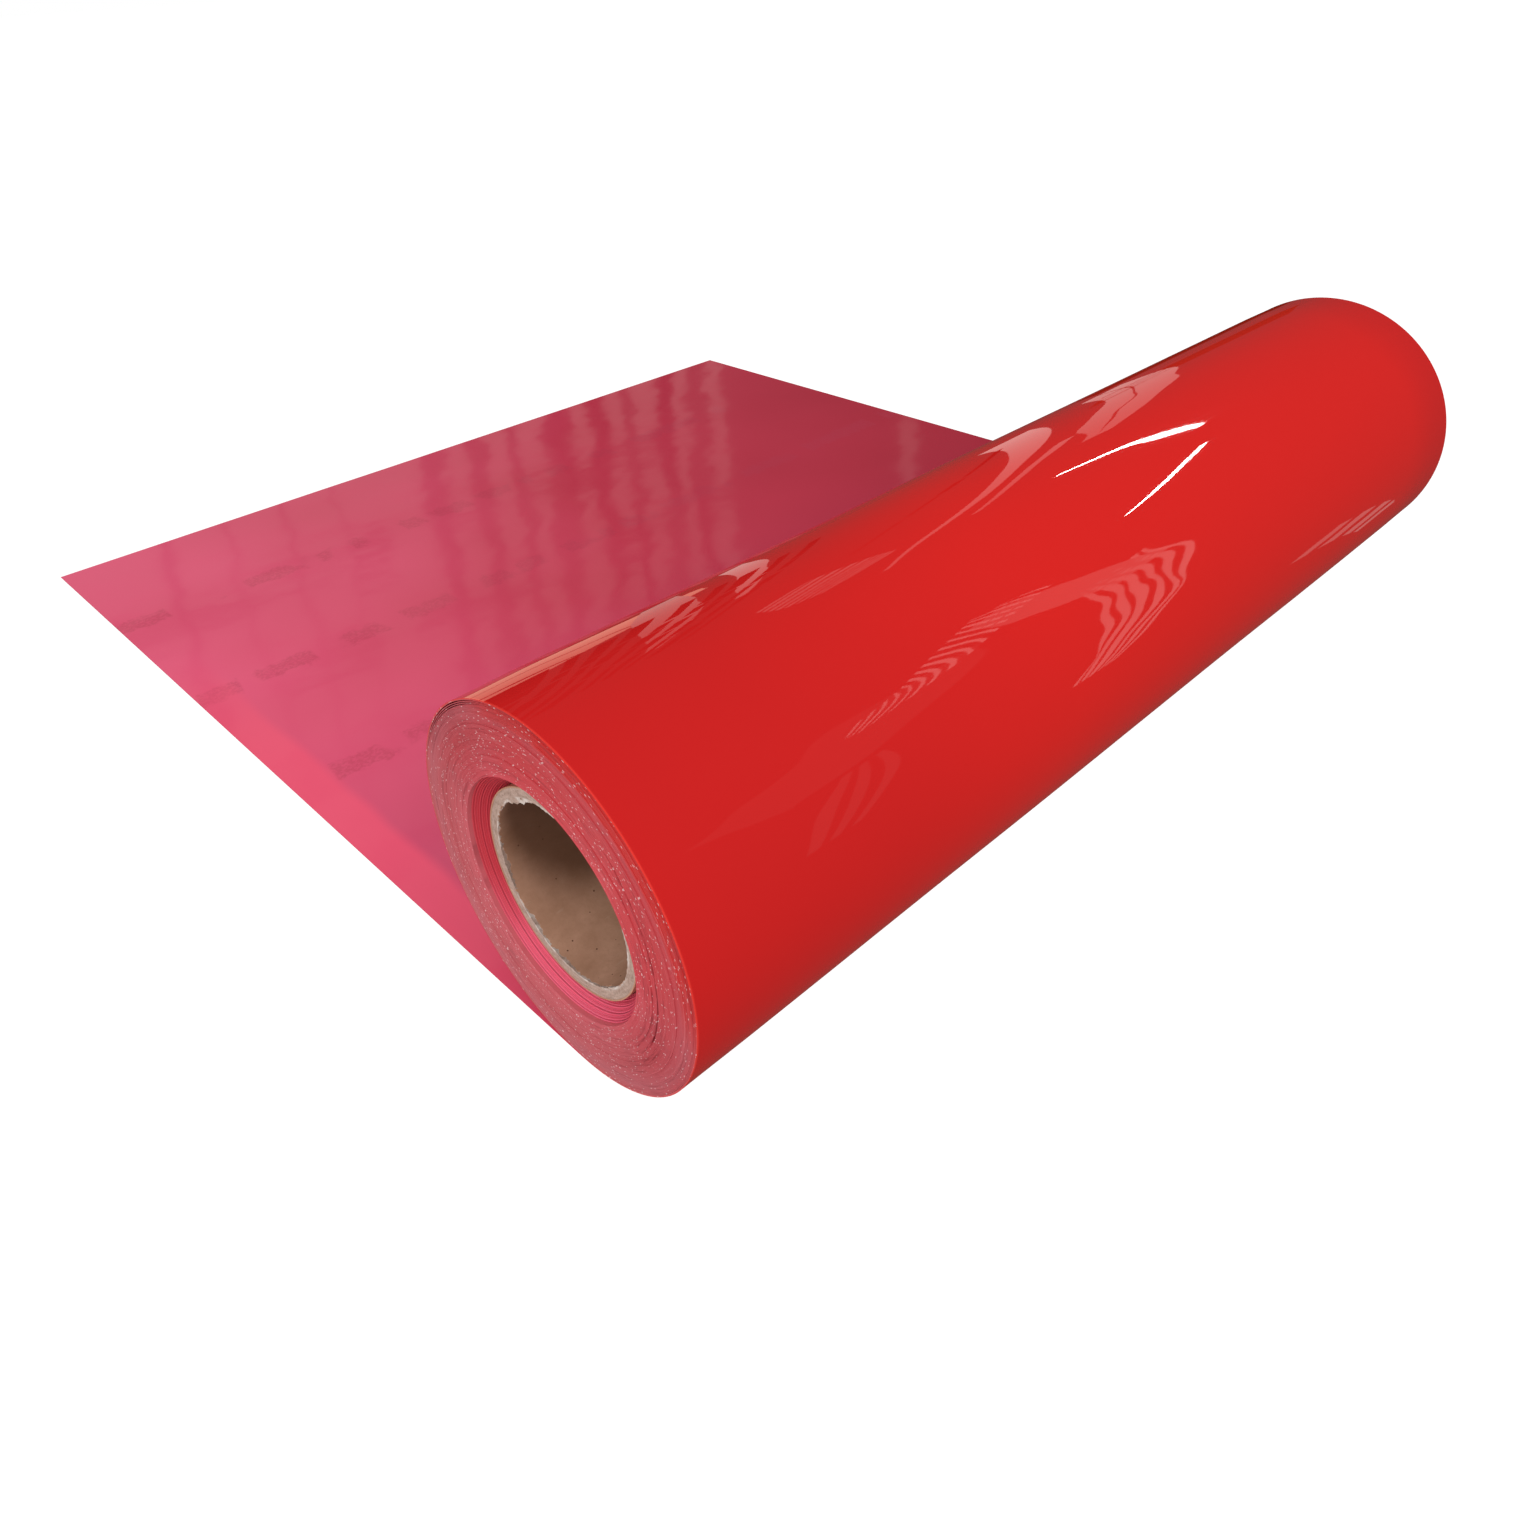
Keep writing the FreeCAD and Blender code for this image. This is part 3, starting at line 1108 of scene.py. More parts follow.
@dataclass
class Winding:
    """The tight winding: bands of turns, and the turns that have sprung free."""

    place: RollPlace
    edges: bpy.types.Material
    pitch: float = 0.0003
    around: int = 256
    bands: int = 6
    sprung: int = 2
    dip_at: float = math.radians(140)
    dip_half: float = math.radians(8)
    dip_fade: float = math.radians(26)
    band_dip_mm: float = 0.95
    sprung_dips_mm: tuple[float, float] = (0.66, 0.34)
    crack_depth_mm: float = 1.2
    groove_mm: float = 0.12
    relief_mm: float = 0.14

    def dip(self, angle: float) -> float:
        """Share of the full inward dip at an angle."""
        return window(angle, self.dip_at - self.dip_half, self.dip_at + self.dip_half, self.dip_fade)

    def ridges(
        self, edge_x: float, inner: float, outer: float, sign: int, seed: int
    ) -> list[tuple[float, float]]:
        """Ridges and grooves of a band's turns at one end.

        Args:
            edge_x: Where the end is.
            inner: The band's inner radius.
            outer: Its outer radius.
            sign: One at the near end, and minus one at the far end.
            seed: Start of the random draws.

        Returns:
            Points of x and radius, from the inside out.
        """
        dice = random.Random(seed)
        count = max(2, round((outer - inner) / self.pitch))
        pitch = (outer - inner) / count
        points = [(edge_x, inner)]
        group, left = 0.0, 0
        for i in range(count):
            if left == 0:
                left = dice.randint(3, 8)
                group = dice.uniform(-0.5, 1.0) * self.relief_mm * MM
            left -= 1
            lift = max(0.0, group + dice.uniform(0, 0.3) * self.relief_mm * MM)
            ridge = edge_x + sign * lift
            points.append((ridge, inner + (i + 0.25) * pitch))
            points.append((ridge, inner + (i + 0.75) * pitch))
            if i < count - 1:
                points.append((ridge + sign * self.groove_mm * MM, inner + (i + 1.0) * pitch))
        points.append((edge_x, outer))
        return points

    def band(self, number: int, inner: float) -> tuple[bpy.types.Object, float]:
        """One band.

        Args:
            number: The band's number, from 1.
            inner: Its inner radius.

        Returns:
            The piece, and the band's outer radius.
        """
        p = self.place
        node = f"wound_band_{number}"
        low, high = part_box(node)
        outer = ring_radius(node)
        near = self.ridges(low.x, inner, outer, 1, 10 + number)
        far = self.ridges(high.x, inner, outer, -1, 40 + number)
        section = near + far[::-1]
        last = number == self.bands

        def shift(x: float, angle: float, r: float) -> tuple[float, float]:
            """Wave the band's ends, sink the crack and dip the last band.

            Args:
                x: The place along the axis, in metres.
                angle: The angle from the floor, in radians.
                r: The radius, in metres.

            Returns:
                How far the point moves along the axis and outwards, in metres.
            """
            side = 1 if x < 0 else -1
            wave = noise.noise(Vector((r * 900, math.cos(angle) * 2.2, math.sin(angle) * 2.2)))
            dx = side * self.relief_mm * MM * (0.5 + 0.5 * wave)
            dr = 0.0
            off = angle - CRACK.at
            gap = abs(r - (CRACK.radius_mm + CRACK.bend_mm * off * off) * MM)
            beside = window(gap, -1.0, 0.12 * MM, 0.3 * MM)
            dx += side * self.crack_depth_mm * MM * beside * window(off, -0.75, 0.4, 0.3)
            if last:
                share = max(0.0, (r - inner) / (outer - inner))
                dr = -self.band_dip_mm * MM * self.dip(angle) * share
            return dx, dr

        piece = new_piece(f"winding_band_{number}", spun(p, section, self.around, shift), False)
        dress(piece, self.edges)
        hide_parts(node)
        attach(piece, "wound_roll")
        return piece, outer

    def sprung_turn(self, number: int) -> bpy.types.Object:
        """A turn that stands free of the winding, with a dip that opens a gap under the next.

        Args:
            number: The turn's number, from 1.

        Returns:
            The piece.
        """
        p = self.place
        node = f"loose_turn_{number}"
        low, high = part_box(node)
        outer = ring_radius(node)
        thick = p.vinyl + p.liner
        section = [(low.x, outer), (high.x, outer), (high.x, outer - thick), (low.x, outer - thick)]
        depth = self.sprung_dips_mm[number - 1] * MM

        def shift(x: float, angle: float, r: float) -> tuple[float, float]:
            """Dip the turn."""
            return 0.0, -depth * self.dip(angle)

        piece = new_piece(f"sprung_turn_{number}", spun(p, section, self.around, shift), False)
        dress(piece, self.edges)
        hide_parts(node)
        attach(piece, "wound_roll")
        return piece

    def build(self, inner: float) -> list[bpy.types.Object]:
        """Build every band from the inside out, and the sprung turns.

        Args:
            inner: Radius where the tight winding starts.

        Returns:
            The pieces.
        """
        made = []
        for number in range(1, self.bands + 1):
            piece, inner = self.band(number, inner)
            made.append(piece)
        made += [self.sprung_turn(k) for k in range(1, self.sprung + 1)]
        return made


@dataclass
class SlippedTurns:
    """The inner turns that slid along the axis like a telescope."""

    place: RollPlace
    clearance: float = 0.00005
    count: int = 12
    around: int = 192
    thickness: float = 0.000475
    lip_mm: float = 0.12
    notch_mm: float = 0.03
    wave_mm: float = 0.12

    def step(
        self, number: int, inner: float, edges: bpy.types.Material
    ) -> tuple[bpy.types.Object, float]:
        """One step.

        Args:
            number: The step's number, from the inside.
            inner: Its inner radius.
            edges: Its material.

        Returns:
            The piece, and the next step's inner radius.
        """
        p = self.place
        node = f"inner_turn_{number:02d}"
        low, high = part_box(node)
        outer = ring_radius(node)
        middle = (inner + outer) / 2
        lip = self.lip_mm * MM
        notch = self.notch_mm * MM
        section = [
            (low.x + lip, inner),
            (low.x, inner + lip),
            (low.x, middle - notch),
            (low.x + lip, middle),
            (low.x, middle + notch),
            (low.x, outer - lip),
            (low.x + lip, outer),
            (high.x - lip, outer),
            (high.x, outer - lip),
            (high.x, inner + lip),
            (high.x - lip, inner),
        ]

        def shift(x: float, angle: float, r: float) -> tuple[float, float]:
            """Wave the step along the axis."""
            wave = noise.noise(Vector((number * 3.1, math.cos(angle) * 1.5, math.sin(angle) * 1.5)))
            return self.wave_mm * MM * wave, 0.0

        piece = new_piece(f"slipped_turn_{number:02d}", spun(p, section, self.around, shift), False)
        dress(piece, edges)
        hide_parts(node)
        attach(piece, f"step_{number:02d}")
        return piece, outer + self.clearance

    def build(self) -> tuple[list[bpy.types.Object], float]:
        """Build every step from the inside out.

        Returns:
            The pieces, and the radius where the tight winding starts.
        """
        made = []
        inner = ring_radius("inner_turn_01") - self.thickness
        pitch = self.thickness + self.clearance
        edges = SlippedEdges().material(self.place, inner, pitch)
        for number in range(1, self.count + 1):
            piece, inner = self.step(number, inner, edges)
            made.append(piece)
        return made, inner


@dataclass
class Core:
    """The paper core: chipboard between two kraft plies."""

    place: RollPlace
    kraft: bpy.types.Material
    board: bpy.types.Material
    around: int = 360
    lining_tear_mm: float = 2.4
    saw_mm: float = 0.18
    burr_mm: float = 1.3
    burr_reach_mm: float = 1.2
    tear_mm: float = 1.5
    tear_from: float = math.radians(146)
    tear_to: float = math.radians(158)
    tear_fade: float = math.radians(9)

    def ragged(self, angle: float, seed: float) -> float:
        """Roughness of the sawn inner edge.

        Args:
            angle: Place round the axis.
            seed: Which edge it is.

        Returns:
            The roughness, from 0 to 1.
        """
        at = Vector((math.cos(angle) * 3, math.sin(angle) * 3, seed))
        fine = Vector((math.cos(angle) * 17, math.sin(angle) * 17, seed))
        hair = Vector((math.cos(angle) * 45, math.sin(angle) * 45, seed))
        rough = 0.6 * noise.noise(at) + 0.45 * noise.noise(fine) + 0.25 * noise.noise(hair)
        return max(0.0, min(1.0, 0.42 + rough))

    def lining(self) -> bpy.types.Object:
        """The kraft ply in the bore, torn back a little where the core was sawn.

        Returns:
            The piece, not yet dressed.
        """
        p = self.place
        low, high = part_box("core_inner_ply")
        outer = ring_radius("core_inner_ply")
        inner = p.bore
        xs = [low.x, low.x + 4 * MM, high.x - 4 * MM, high.x]
        section = [(x, outer) for x in xs] + [(x, inner) for x in reversed(xs)]

        def shift(x: float, angle: float, r: float) -> tuple[float, float]:
            """Tear the ply back at its ends.

            Args:
                x: The place along the axis, in metres.
                angle: The angle from the floor, in radians.
                r: The radius, in metres. Not used.

            Returns:
                How far the point moves along the axis and outwards, in metres.
            """
            if x < low.x + MM:
                return self.lining_tear_mm * MM * self.ragged(angle, 5.0), 0.0
            if x > high.x - MM:
                return -self.lining_tear_mm * MM * self.ragged(angle, 9.0), 0.0
            return 0.0, 0.0

        return new_piece("core_bore_lining", spun(p, section, self.around, shift))

    def tube(self) -> bpy.types.Object:
        """The chipboard, with a ragged inner edge at each end.

        Returns:
            The piece, not yet dressed.
        """
        p = self.place
        low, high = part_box("core_board")
        outer = ring_radius("core_board")
        inner = ring_radius("core_inner_ply")
        steps = 5
        faces = [inner + (outer - inner) * i / steps for i in range(steps + 1)]
        near = [(low.x, r) for r in faces]
        far = [(high.x, r) for r in faces]
        inside = [(high.x - 3 * MM, inner), (low.x + 3 * MM, inner)]
        section = near + far[::-1] + inside

        def shift(x: float, angle: float, r: float) -> tuple[float, float]:
            """Roughen the sawn ends and tear their inner edge.

            Args:
                x: The place along the axis, in metres.
                angle: The angle from the floor, in radians.
                r: The radius, in metres.

            Returns:
                How far the point moves along the axis and outwards, in metres.
            """
            at_end = x < low.x + MM or x > high.x - MM
            if not at_end:
                return 0.0, 0.0
            side = 1 if x < 0 else -1
            wave = noise.noise(Vector((r * 700, math.cos(angle) * 12, math.sin(angle) * 12)))
            dx = side * self.saw_mm * MM * (1 + wave)
            edge = max(0.0, 1 - (r - inner) / (self.burr_reach_mm * MM))
            tear = window(angle, self.tear_from, self.tear_to, self.tear_fade)
            dr = -edge * (self.burr_mm * self.ragged(angle, 2.0) + self.tear_mm * tear) * MM
            return dx, dr

        return new_piece("core_chipboard", spun(p, section, self.around, shift))

    def wrap(self) -> bpy.types.Object:
        """The kraft ply round the outside.

        Returns:
            The piece, not yet dressed.
        """
        p = self.place
        low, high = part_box("core_outer_ply")
        outer = ring_radius("core_outer_ply")
        inner = ring_radius("core_board")
        section = [(low.x, inner), (low.x, outer), (high.x, outer), (high.x, inner)]
        return new_piece("core_outer_wrap", spun(p, section, self.around), False)

    def build(self) -> list[bpy.types.Object]:
        """Build the core's three layers.

        Returns:
            The three pieces, dressed.
        """
        made = []
        for piece, node, material, slot in (
            (self.lining(), "core_inner_ply", self.kraft, "core_kraft"),
            (self.tube(), "core_board", self.board, "core_chipboard"),
            (self.wrap(), "core_outer_ply", self.kraft, "core_kraft"),
        ):
            dress(piece, material)
            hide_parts(node)
            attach(piece, "core")
            made.append(piece)
        return made


# ------------------------------------------------------------------ studio


class Cut(Enum):
    """How a reflection's ribbon is cut up."""

    WHOLE = 1
    STRANDS = 2
    RUNGS = 3


@dataclass(frozen=True)
class Ribbon:
    """A bright ribbon that only shows in gloss, laid out by the directions it is seen in.

    Its path gives azimuth, elevation and width in degrees, seen from the roll.
    """

    name: str
    path: tuple[tuple[float, float, float], ...]
    light: float
    tint: str = "ffe6e0"
    cut: Cut = Cut.WHOLE
    pieces: int = 1
    fill: float = 0.55
    slant: float = 0.0
    waver: float = 0.0
    distance: float = 15.0

    def at(self, t: float) -> Vector:
        """Follow the path smoothly between its points.

        Args:
            t: Share of the path.

        Returns:
            Azimuth, elevation and width.
        """
        last = len(self.path) - 1
        t = max(0.0, min(1.0, t)) * last
        i = min(int(t), last - 1)
        f = t - i
        p0, p1, p2, p3 = (Vector(self.path[max(0, min(last, i + k))]) for k in (-1, 0, 1, 2))
        bend = 2 * p0 - 5 * p1 + 4 * p2 - p3
        twist = 3 * p1 - p0 - 3 * p2 + p3
        return 0.5 * (2 * p1 + (p2 - p0) * f + bend * f * f + twist * f * f * f)

    def direction(self, t: float, side: float) -> Vector:
        """Direction of a point of the ribbon.

        Args:
            t: Share of the path.
            side: Share of the width to one side.

        Returns:
            A unit vector.
        """
        t += side * self.slant
        side += self.waver * noise.noise(Vector((5 * t, 2.5 * side, len(self.name))))
        here = self.at(t)
        ahead = self.at(min(1.0, t + 0.02)) - self.at(max(0.0, t - 0.02))
        squeeze = math.cos(math.radians(here.y))
        across = Vector((-ahead.y, ahead.x * squeeze)).normalized() * here.z * side
        az = math.radians(here.x + across.x / squeeze)
        el = math.radians(here.y + across.y)
        return Vector((math.cos(az) * math.cos(el), math.sin(az) * math.cos(el), math.sin(el)))


@dataclass(frozen=True)
class WindowWall:
    """A wall of narrow panes behind the web's tail, parallel to the roll."""

    y: float = 3.0
    first_x: float = -0.35
    pitch: float = 0.17
    columns: int = 25
    merged: int = 9
    gap: range = range(18, 24)
    rows: tuple[tuple[float, float], ...] = ((0.6, 1.3), (1.33, 1.62), (1.65, 2.02), (2.05, 2.5), (2.53, 3.3))
    pane_share: tuple[float, float] = (0.35, 0.65)
    merged_share: float = 0.93
    jitter: float = 0.02
    sag: float = 0.06
    light: float = 0.4
    tint: str = "ffe0da"


@dataclass(frozen=True)
class SoftLamp:
    """A large soft lamp that gloss doesn't show."""

    name: str
    spot: tuple[float, float, float]
    size: float
    power: float


@dataclass(frozen=True)
class View:
    """Where the camera stands and how it is turned, in metres and degrees."""

    spot: tuple[float, float, float] = (-0.46598, -0.56677, 0.37359)
    azimuth: float = -44.022
    elevation: float = 30.228
    roll: float = -2.817
    lens: float = 28.388
    shift: tuple[float, float] = (-0.028, -0.0879)


@dataclass
class Studio:
    """Pale floor, soft light, reflection cards and the camera."""

    place: RollPlace
    wall: WindowWall = WindowWall()
    view: View = View()
    floor_glow: float = 0.96
    floor_grey: float = 0.16
    floor_bounce: float = 0.7
    lamps: tuple[SoftLamp, ...] = (
        SoftLamp("key", (1.9, -1.6, 2.0), 1.8, 24.0),
        SoftLamp("left", (-1.7, -1.2, 1.1), 1.2, 15.0),
    )
    ribbons: tuple[Ribbon, ...] = (
        Ribbon("tube_a", ((17.5, 36.2, 0.2), (12, 34.6, 0.55), (6, 34, 0.75), (0, 33, 0.3)), 40.0, "ffffff"),
        Ribbon("tube_b", ((-21.5, 32, 0.2), (-16, 32, 0.55), (-9, 32, 0.35)), 40.0, "ffffff"),
        Ribbon(
            "curve_a",
            ((59, -10, 2), (59.5, 4, 3.2), (58, 16, 3.4), (55.5, 27, 2.2), (54, 34, 0.8)),
            0.6,
            waver=0.12,
        ),
        Ribbon("curve_b", ((55, -10, 1.5), (54.5, 6, 1.8), (53, 18, 1.5), (51.5, 26, 0.7)), 0.8, waver=0.2),
        Ribbon(
            "curve_c",
            ((41, 0, 3), (37.5, 15, 2.2), (34, 25, 1.5), (29.5, 34, 0.9), (26, 41, 0.6), (22, 45, 0.4)),
            0.95,
            waver=0.15,
        ),
        Ribbon(
            "curve_d",
            ((36, -2, 2.4), (33, 11, 3.8), (30, 20, 4.2), (25.5, 28, 1.6)),
            0.75,
            cut=Cut.STRANDS,
            pieces=2,
            fill=0.9,
            waver=0.15,
        ),
        Ribbon("curve_e", ((31.5, 23, 1), (29, 30, 0.8), (24, 38, 0.5)), 0.8, waver=0.2),
        Ribbon(
            "window_front",
            ((-35, 20, 4.4), (-37.5, 10, 5.4), (-39.5, -4, 5.0), (-41, -15, 3)),
            1.3,
            cut=Cut.STRANDS,
            pieces=6,
            fill=0.62,
            waver=0.22,
        ),
        Ribbon(
            "louvres",
            ((-31, 33, 7), (-36, 32, 6), (-43, 29, 5), (-50, 28, 3)),
            1.9,
            cut=Cut.RUNGS,
            pieces=17,
            fill=0.38,
            slant=0.26,
        ),
        Ribbon(
            "louvres_high",
            ((30, 42, 5), (35, 41, 6), (42, 38, 4)),
            0.9,
            cut=Cut.RUNGS,
            pieces=9,
            fill=0.5,
            slant=-0.15,
        ),
        Ribbon(
            "warm_wall",
            ((75, 0, 24), (69, 0, 24), (65, 3, 20), (62, 6, 14)),
            1.2,
            "f4b8a2",
            cut=Cut.STRANDS,
            pieces=3,
            fill=0.86,
            waver=0.03,
        ),
        Ribbon("wood_wall", ((26, 6, 5), (36, 6, 5)), 0.18, "a86428"),
        Ribbon("wood_low", ((24, -8, 7), (36, -8, 7)), 0.12, "905828"),
        Ribbon("window_head", ((-33.5, 34, 2.5), (-35.5, 27, 4), (-36, 20, 4), (-36, 14, 3)), 0.8, waver=0.1),
        Ribbon("pale_wall", ((-43, 31, 9), (-51, 24, 13), (-60, 21, 12)), 0.22, waver=0.1, distance=16.0),
        Ribbon("pale_left", ((-54, 14, 3), (-56, 4, 6), (-58, -8, 4)), 0.3, cut=Cut.STRANDS, pieces=3),
        Ribbon("low_window", ((-22, -24, 3), (-8, -28, 2)), 0.5, cut=Cut.RUNGS, pieces=4),
    )

    def floor(self) -> bpy.types.Object:
        """The plain pale floor, which gloss doesn't show.

        Returns:
            The floor.
        """
        bm = bmesh.new()
        bmesh.ops.create_grid(bm, x_segments=1, y_segments=1, size=12.0)
        floor = new_piece("floor", bm)
        s = Shader("studio_floor")
        path = s.add("ShaderNodeLightPath")
        glow = s.add("ShaderNodeEmission", {"Color": (1, 1, 1, 1), "Strength": self.floor_glow})
        grey = self.floor_grey
        dull = s.add("ShaderNodeBsdfDiffuse", {"Color": (grey, grey, grey, 1)})
        bright = s.add("ShaderNodeAddShader", {0: (glow, 0), 1: (dull, 0)})
        warm = {"Color": (1, 0.97, 0.96, 1), "Strength": self.floor_bounce}
        bounce = s.add("ShaderNodeEmission", warm)
        mix = s.add("ShaderNodeMixShader", {0: (path, "Is Camera Ray"), 1: (bounce, 0), 2: (bright, 0)})
        s.link(mix, 0, s.output, "Surface")
        dress(floor, s.material)
        floor.visible_glossy = False
        return floor

    def world(self) -> None:
        """White to the eye, a soft grey to diffuse light and dark in gloss."""
        world = bpy.data.worlds.new("studio")
        bpy.context.scene.world = world
        world.use_nodes = True
        tree = world.node_tree
        tree.nodes.clear()
        out = tree.nodes.new("ShaderNodeOutputWorld")
        path = tree.nodes.new("ShaderNodeLightPath")
        looks = []
        for colour, strength in (((1, 1, 1, 1), 1.0), ((1, 0.985, 0.97, 1), 0.76), ((1, 0.9, 0.86, 1), 0.07)):
            look = tree.nodes.new("ShaderNodeBackground")
            look.inputs["Color"].default_value = colour
            look.inputs["Strength"].default_value = strength
            looks.append(look)
        eye, soft, gloss = looks
        where = tree.nodes.new("ShaderNodeTexCoord")
        split = tree.nodes.new("ShaderNodeSeparateXYZ")
        ramp = tree.nodes.new("ShaderNodeMapRange")
        ramp.inputs["From Min"].default_value = -0.5
        ramp.inputs["From Max"].default_value = 0.1
        shade = tree.nodes.new("ShaderNodeMix")
        shade.data_type = "RGBA"
        shade.inputs[6].default_value = (3.2, 0.8, 0.7, 1)
        shade.inputs[7].default_value = (1, 0.9, 0.86, 1)
        tree.links.new(where.outputs["Generated"], split.inputs[0])
        tree.links.new(split.outputs["Z"], ramp.inputs["Value"])
        tree.links.new(ramp.outputs[0], shade.inputs[0])
        tree.links.new(shade.outputs[2], gloss.inputs["Color"])
        first = tree.nodes.new("ShaderNodeMixShader")
        second = tree.nodes.new("ShaderNodeMixShader")
        tree.links.new(path.outputs["Is Glossy Ray"], first.inputs[0])
        tree.links.new(soft.outputs[0], first.inputs[1])
        tree.links.new(gloss.outputs[0], first.inputs[2])
        tree.links.new(path.outputs["Is Camera Ray"], second.inputs[0])
        tree.links.new(first.outputs[0], second.inputs[1])
        tree.links.new(eye.outputs[0], second.inputs[2])
        tree.links.new(second.outputs[0], out.inputs["Surface"])

    def pane(self, bm: bmesh.types.BMesh, centre: Vector, width: float, height: float) -> None:
        """Add one pane, flat in the XY plane, to a mesh.

        Args:
            bm: The mesh.
            centre: The pane's centre.
            width: Its size along X.
            height: Its size along Y.
        """
        made = bmesh.ops.create_grid(bm, x_segments=1, y_segments=1, size=0.5)
        bmesh.ops.scale(bm, vec=(width, height, 1.0), verts=made["verts"])
        bmesh.ops.translate(bm, vec=centre, verts=made["verts"])

    def glowing(self, name: str, bm: bmesh.types.BMesh, light: float, tint: str) -> bpy.types.Object:
        """Make a mesh a light source that only gloss shows.

        Args:
            name: The card's name.
            bm: Its mesh.
            light: Strength of its light.
            tint: Colour of its light.

        Returns:
            The card.
        """
        piece = new_piece(name, bm)
        s = Shader(name)
        glow = s.add("ShaderNodeEmission", {"Color": linear(tint), "Strength": light})
        s.link(glow, 0, s.output, "Surface")
        dress(piece, s.material)
        piece.visible_camera = False
        piece.visible_diffuse = False
        piece.visible_shadow = False
        return piece

    def aim(self, lights: list[bpy.types.Object], pieces: list[bpy.types.Object]) -> None:
        """Let lights show in the gloss of only some pieces.

        Args:
            lights: The cards.
            pieces: The pieces that show them.
        """
        group = bpy.data.collections.new(f"gloss_of_{pieces[0].name}")
        for piece in pieces:
            group.objects.link(piece)
        for light in lights:
            light.light_linking.receiver_collection = group

    def ribbon(self, ribbon: Ribbon) -> bpy.types.Object:
        """Hang one ribbon in the directions that its path gives.

        Args:
            ribbon: The ribbon's path, light and cut.

        Returns:
            The glowing card.
        """
        centre = Vector((self.place.near + 0.3, self.place.axis_y, self.place.axis_z))
        dice = random.Random(ribbon.name)
        bm = bmesh.new()
        count = ribbon.pieces if ribbon.cut != Cut.WHOLE else 1
        for k in range(count):
            share = 1.0 if count == 1 else ribbon.fill * dice.uniform(0.75, 1.25)
            first = (k + 0.5 - share / 2) / count
            last = (k + 0.5 + share / 2) / count
            made = bmesh.ops.create_grid(bm, x_segments=4, y_segments=24, size=0.5)
            for v in made["verts"]:
                t, side = v.co.y + 0.5, v.co.x
                if ribbon.cut is Cut.RUNGS:
                    t = first + t * (last - first)
                elif ribbon.cut is Cut.STRANDS:
                    side = first + (side + 0.5) * (last - first) - 0.5
                v.co = centre + ribbon.direction(t, side) * ribbon.distance
        return self.glowing(ribbon.name, bm, ribbon.light, ribbon.tint)

    def far_windows(self) -> bpy.types.Object:
        """The wall of panes behind the web's tail.

        Returns:
            The glowing card.
        """
        w = self.wall
        dice = random.Random(7)
        bm = bmesh.new()
        for column in (c for c in range(w.columns) if c not in w.gap):
            x = w.first_x + column * w.pitch + dice.uniform(-w.jitter, w.jitter)
            for low, high in w.rows:
                share = dice.uniform(*w.pane_share) if column > w.merged else w.merged_share
                width = w.pitch * share
                drop = dice.uniform(0.0, w.sag)
                centre = Vector((x, (low + high) / 2 + drop, 0.0))
                self.pane(bm, centre, width, high - low - drop)
        upright = Matrix.Rotation(math.radians(90), 4, "X")
        bm.transform(Matrix.Translation((0, w.y, 0)) @ upright)
        return self.glowing("far_windows", bm, w.light, w.tint)

    def lamp(self, lamp: SoftLamp, target: Vector) -> None:
        """Hang one soft lamp.

        Args:
            lamp: The lamp.
            target: What it points at.
        """
        data = bpy.data.lights.new(lamp.name, "AREA")
        data.shape = "SQUARE"
        data.size = lamp.size
        data.energy = lamp.power
        light = bpy.data.objects.new(lamp.name, data)
        light.location = lamp.spot
        light.rotation_euler = (target - Vector(lamp.spot)).to_track_quat("-Z", "Y").to_euler()
        light.visible_glossy = False
        bpy.context.scene.collection.objects.link(light)

    def camera(self) -> None:
        """The camera, above the floor to the left of the near end."""
        view = self.view
        data = bpy.data.cameras.new("camera")
        data.sensor_width = 36.0
        data.sensor_fit = "HORIZONTAL"
        data.lens = view.lens
        data.shift_x, data.shift_y = view.shift
        data.clip_start = 0.02
        camera = bpy.data.objects.new("camera", data)
        camera.location = view.spot
        turns = (view.azimuth, view.elevation, view.roll)
        azimuth, elevation, roll = (math.radians(degrees) for degrees in turns)
        back = Vector(
            (
                math.sin(azimuth) * math.cos(elevation),
                -math.cos(azimuth) * math.cos(elevation),
                math.sin(elevation),
            )
        )
        side = Vector((0, 0, 1)).cross(back).normalized()
        up = back.cross(side)
        turned = math.cos(roll) * side + math.sin(roll) * up
        upright = -math.sin(roll) * side + math.cos(roll) * up
        camera.rotation_euler = Matrix((turned, upright, back)).transposed().to_euler()
        bpy.context.scene.collection.objects.link(camera)
        bpy.context.scene.camera = camera

    def build(self, roll: list[bpy.types.Object], laid: list[bpy.types.Object]) -> None:
        """Build the studio.

        Args:
            roll: Pieces that reflect the ribbons.
            laid: Pieces that reflect the wall of windows.
        """
        middle = Vector((0.0, -0.1, 0.05))
        self.floor()
        self.world()
        self.aim([self.ribbon(ribbon) for ribbon in self.ribbons], roll)
        self.aim([self.far_windows()], laid)
        for lamp in self.lamps:
            self.lamp(lamp, middle)
        self.camera()
        bpy.context.scene.view_settings.view_transform = "Standard"


# -------------------------------------------------------------------- main


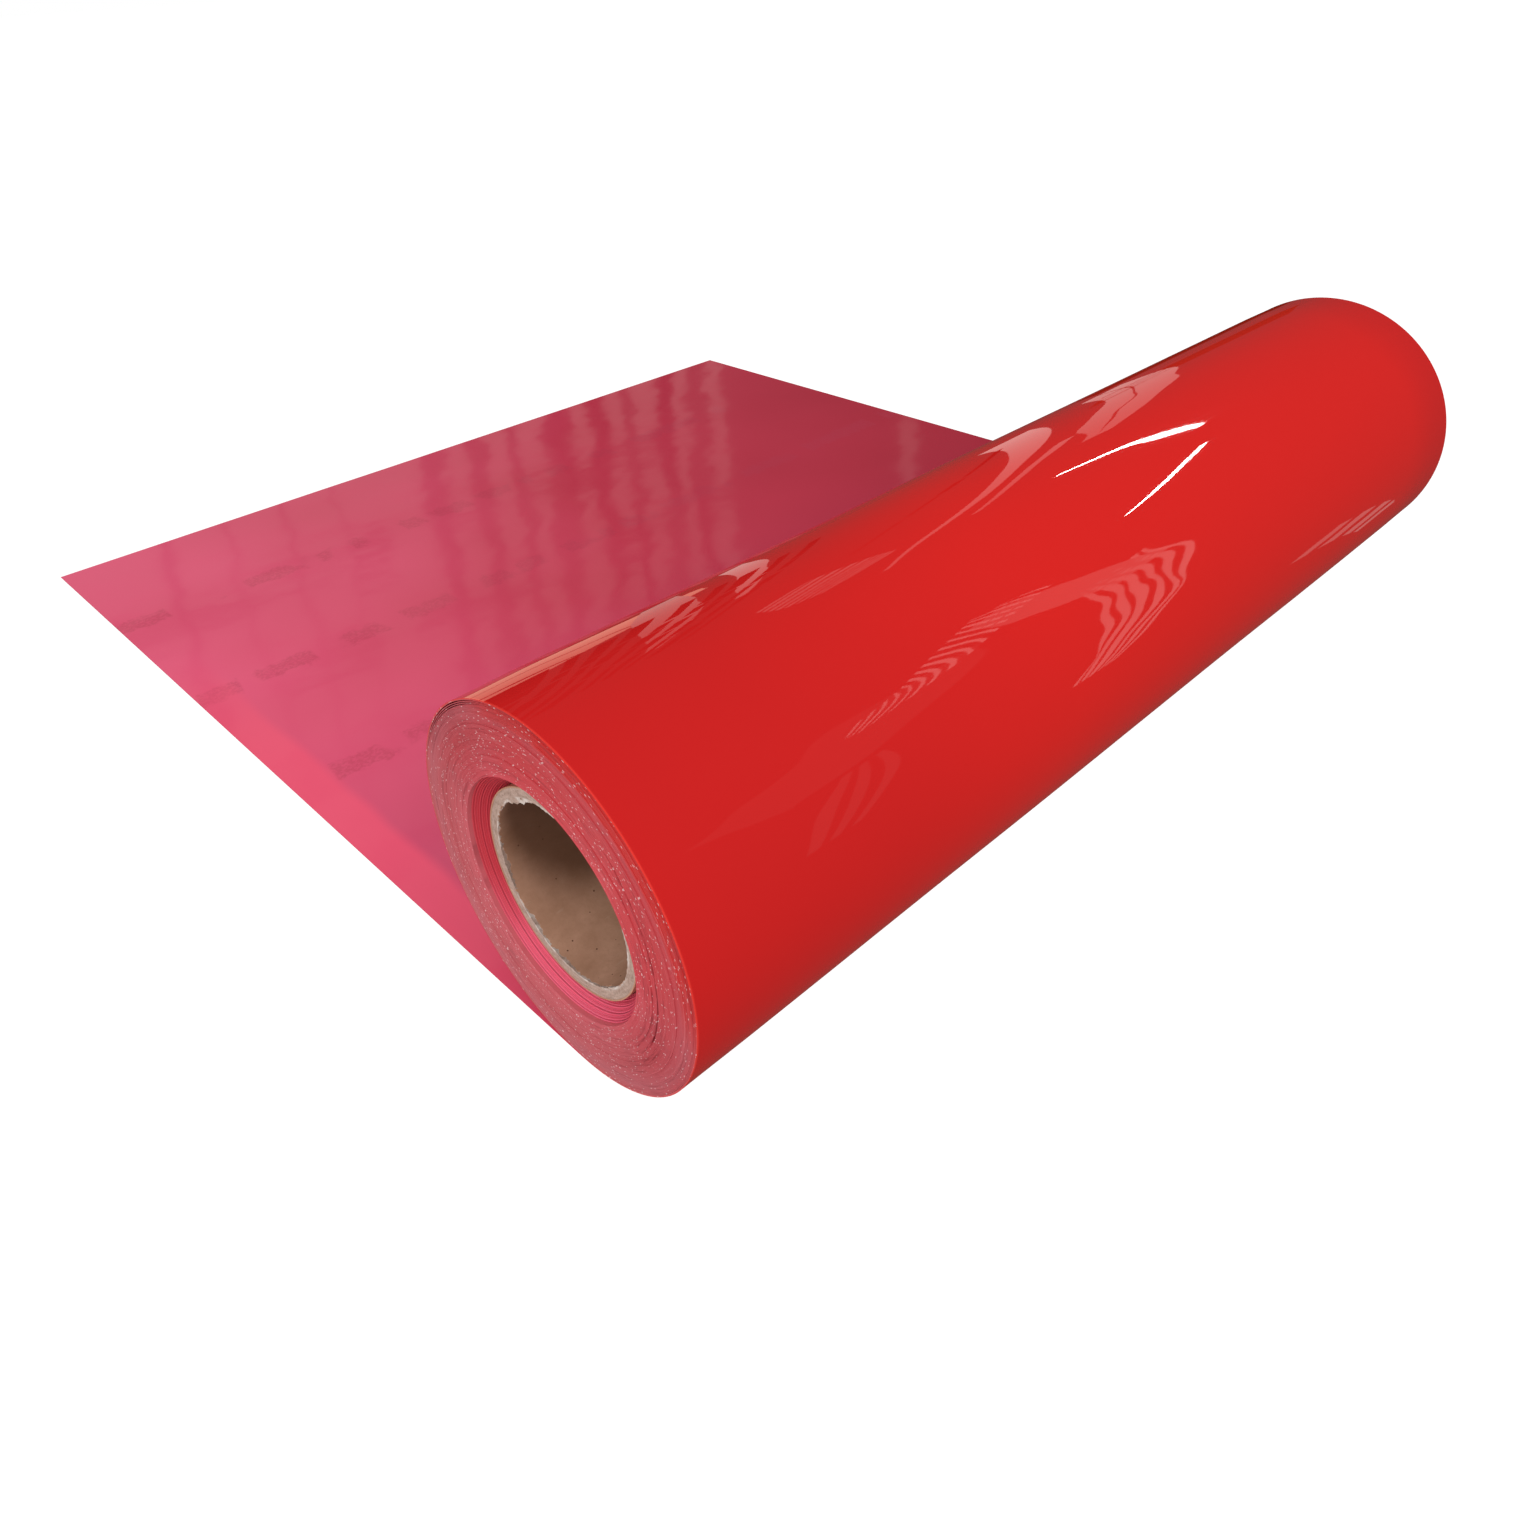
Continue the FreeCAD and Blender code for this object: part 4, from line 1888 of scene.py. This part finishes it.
def main() -> None:
    """Build every sub-assembly in order."""
    logging.basicConfig(level=logging.INFO, format="%(message)s")
    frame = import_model()
    travel = next(j for j in frame["joints"] if j["name"] == "roll_travel")["range_m"][1]
    place = RollPlace.read(frame["record"])
    film = GlossyFilm().material(place)
    liner = ReleaseLiner().material(place)
    edges = SlitEdges().material(place)
    tape = PackingTape().material(place)
    kraft = KraftPaper().material(place)
    board = Chipboard().material(place, ring_radius("core_inner_ply"))

    made = Web(place, film, liner, edges, travel).build()
    Studio(place).build(made[:2], made[2:])
    made += Core(place, kraft, board).build()
    slipped = SlippedTurns(place)
    steps, inner = slipped.build()
    made += steps
    made += Winding(place, edges).build(inner)
    for name, node in frame["nodes"].items():
        if name.startswith("start_tape"):
            dress(node, tape)
    for piece in made:
        LOG.info("built %s: %d faces", piece.name, len(piece.data.polygons))


if __name__ == "__main__":
    main()
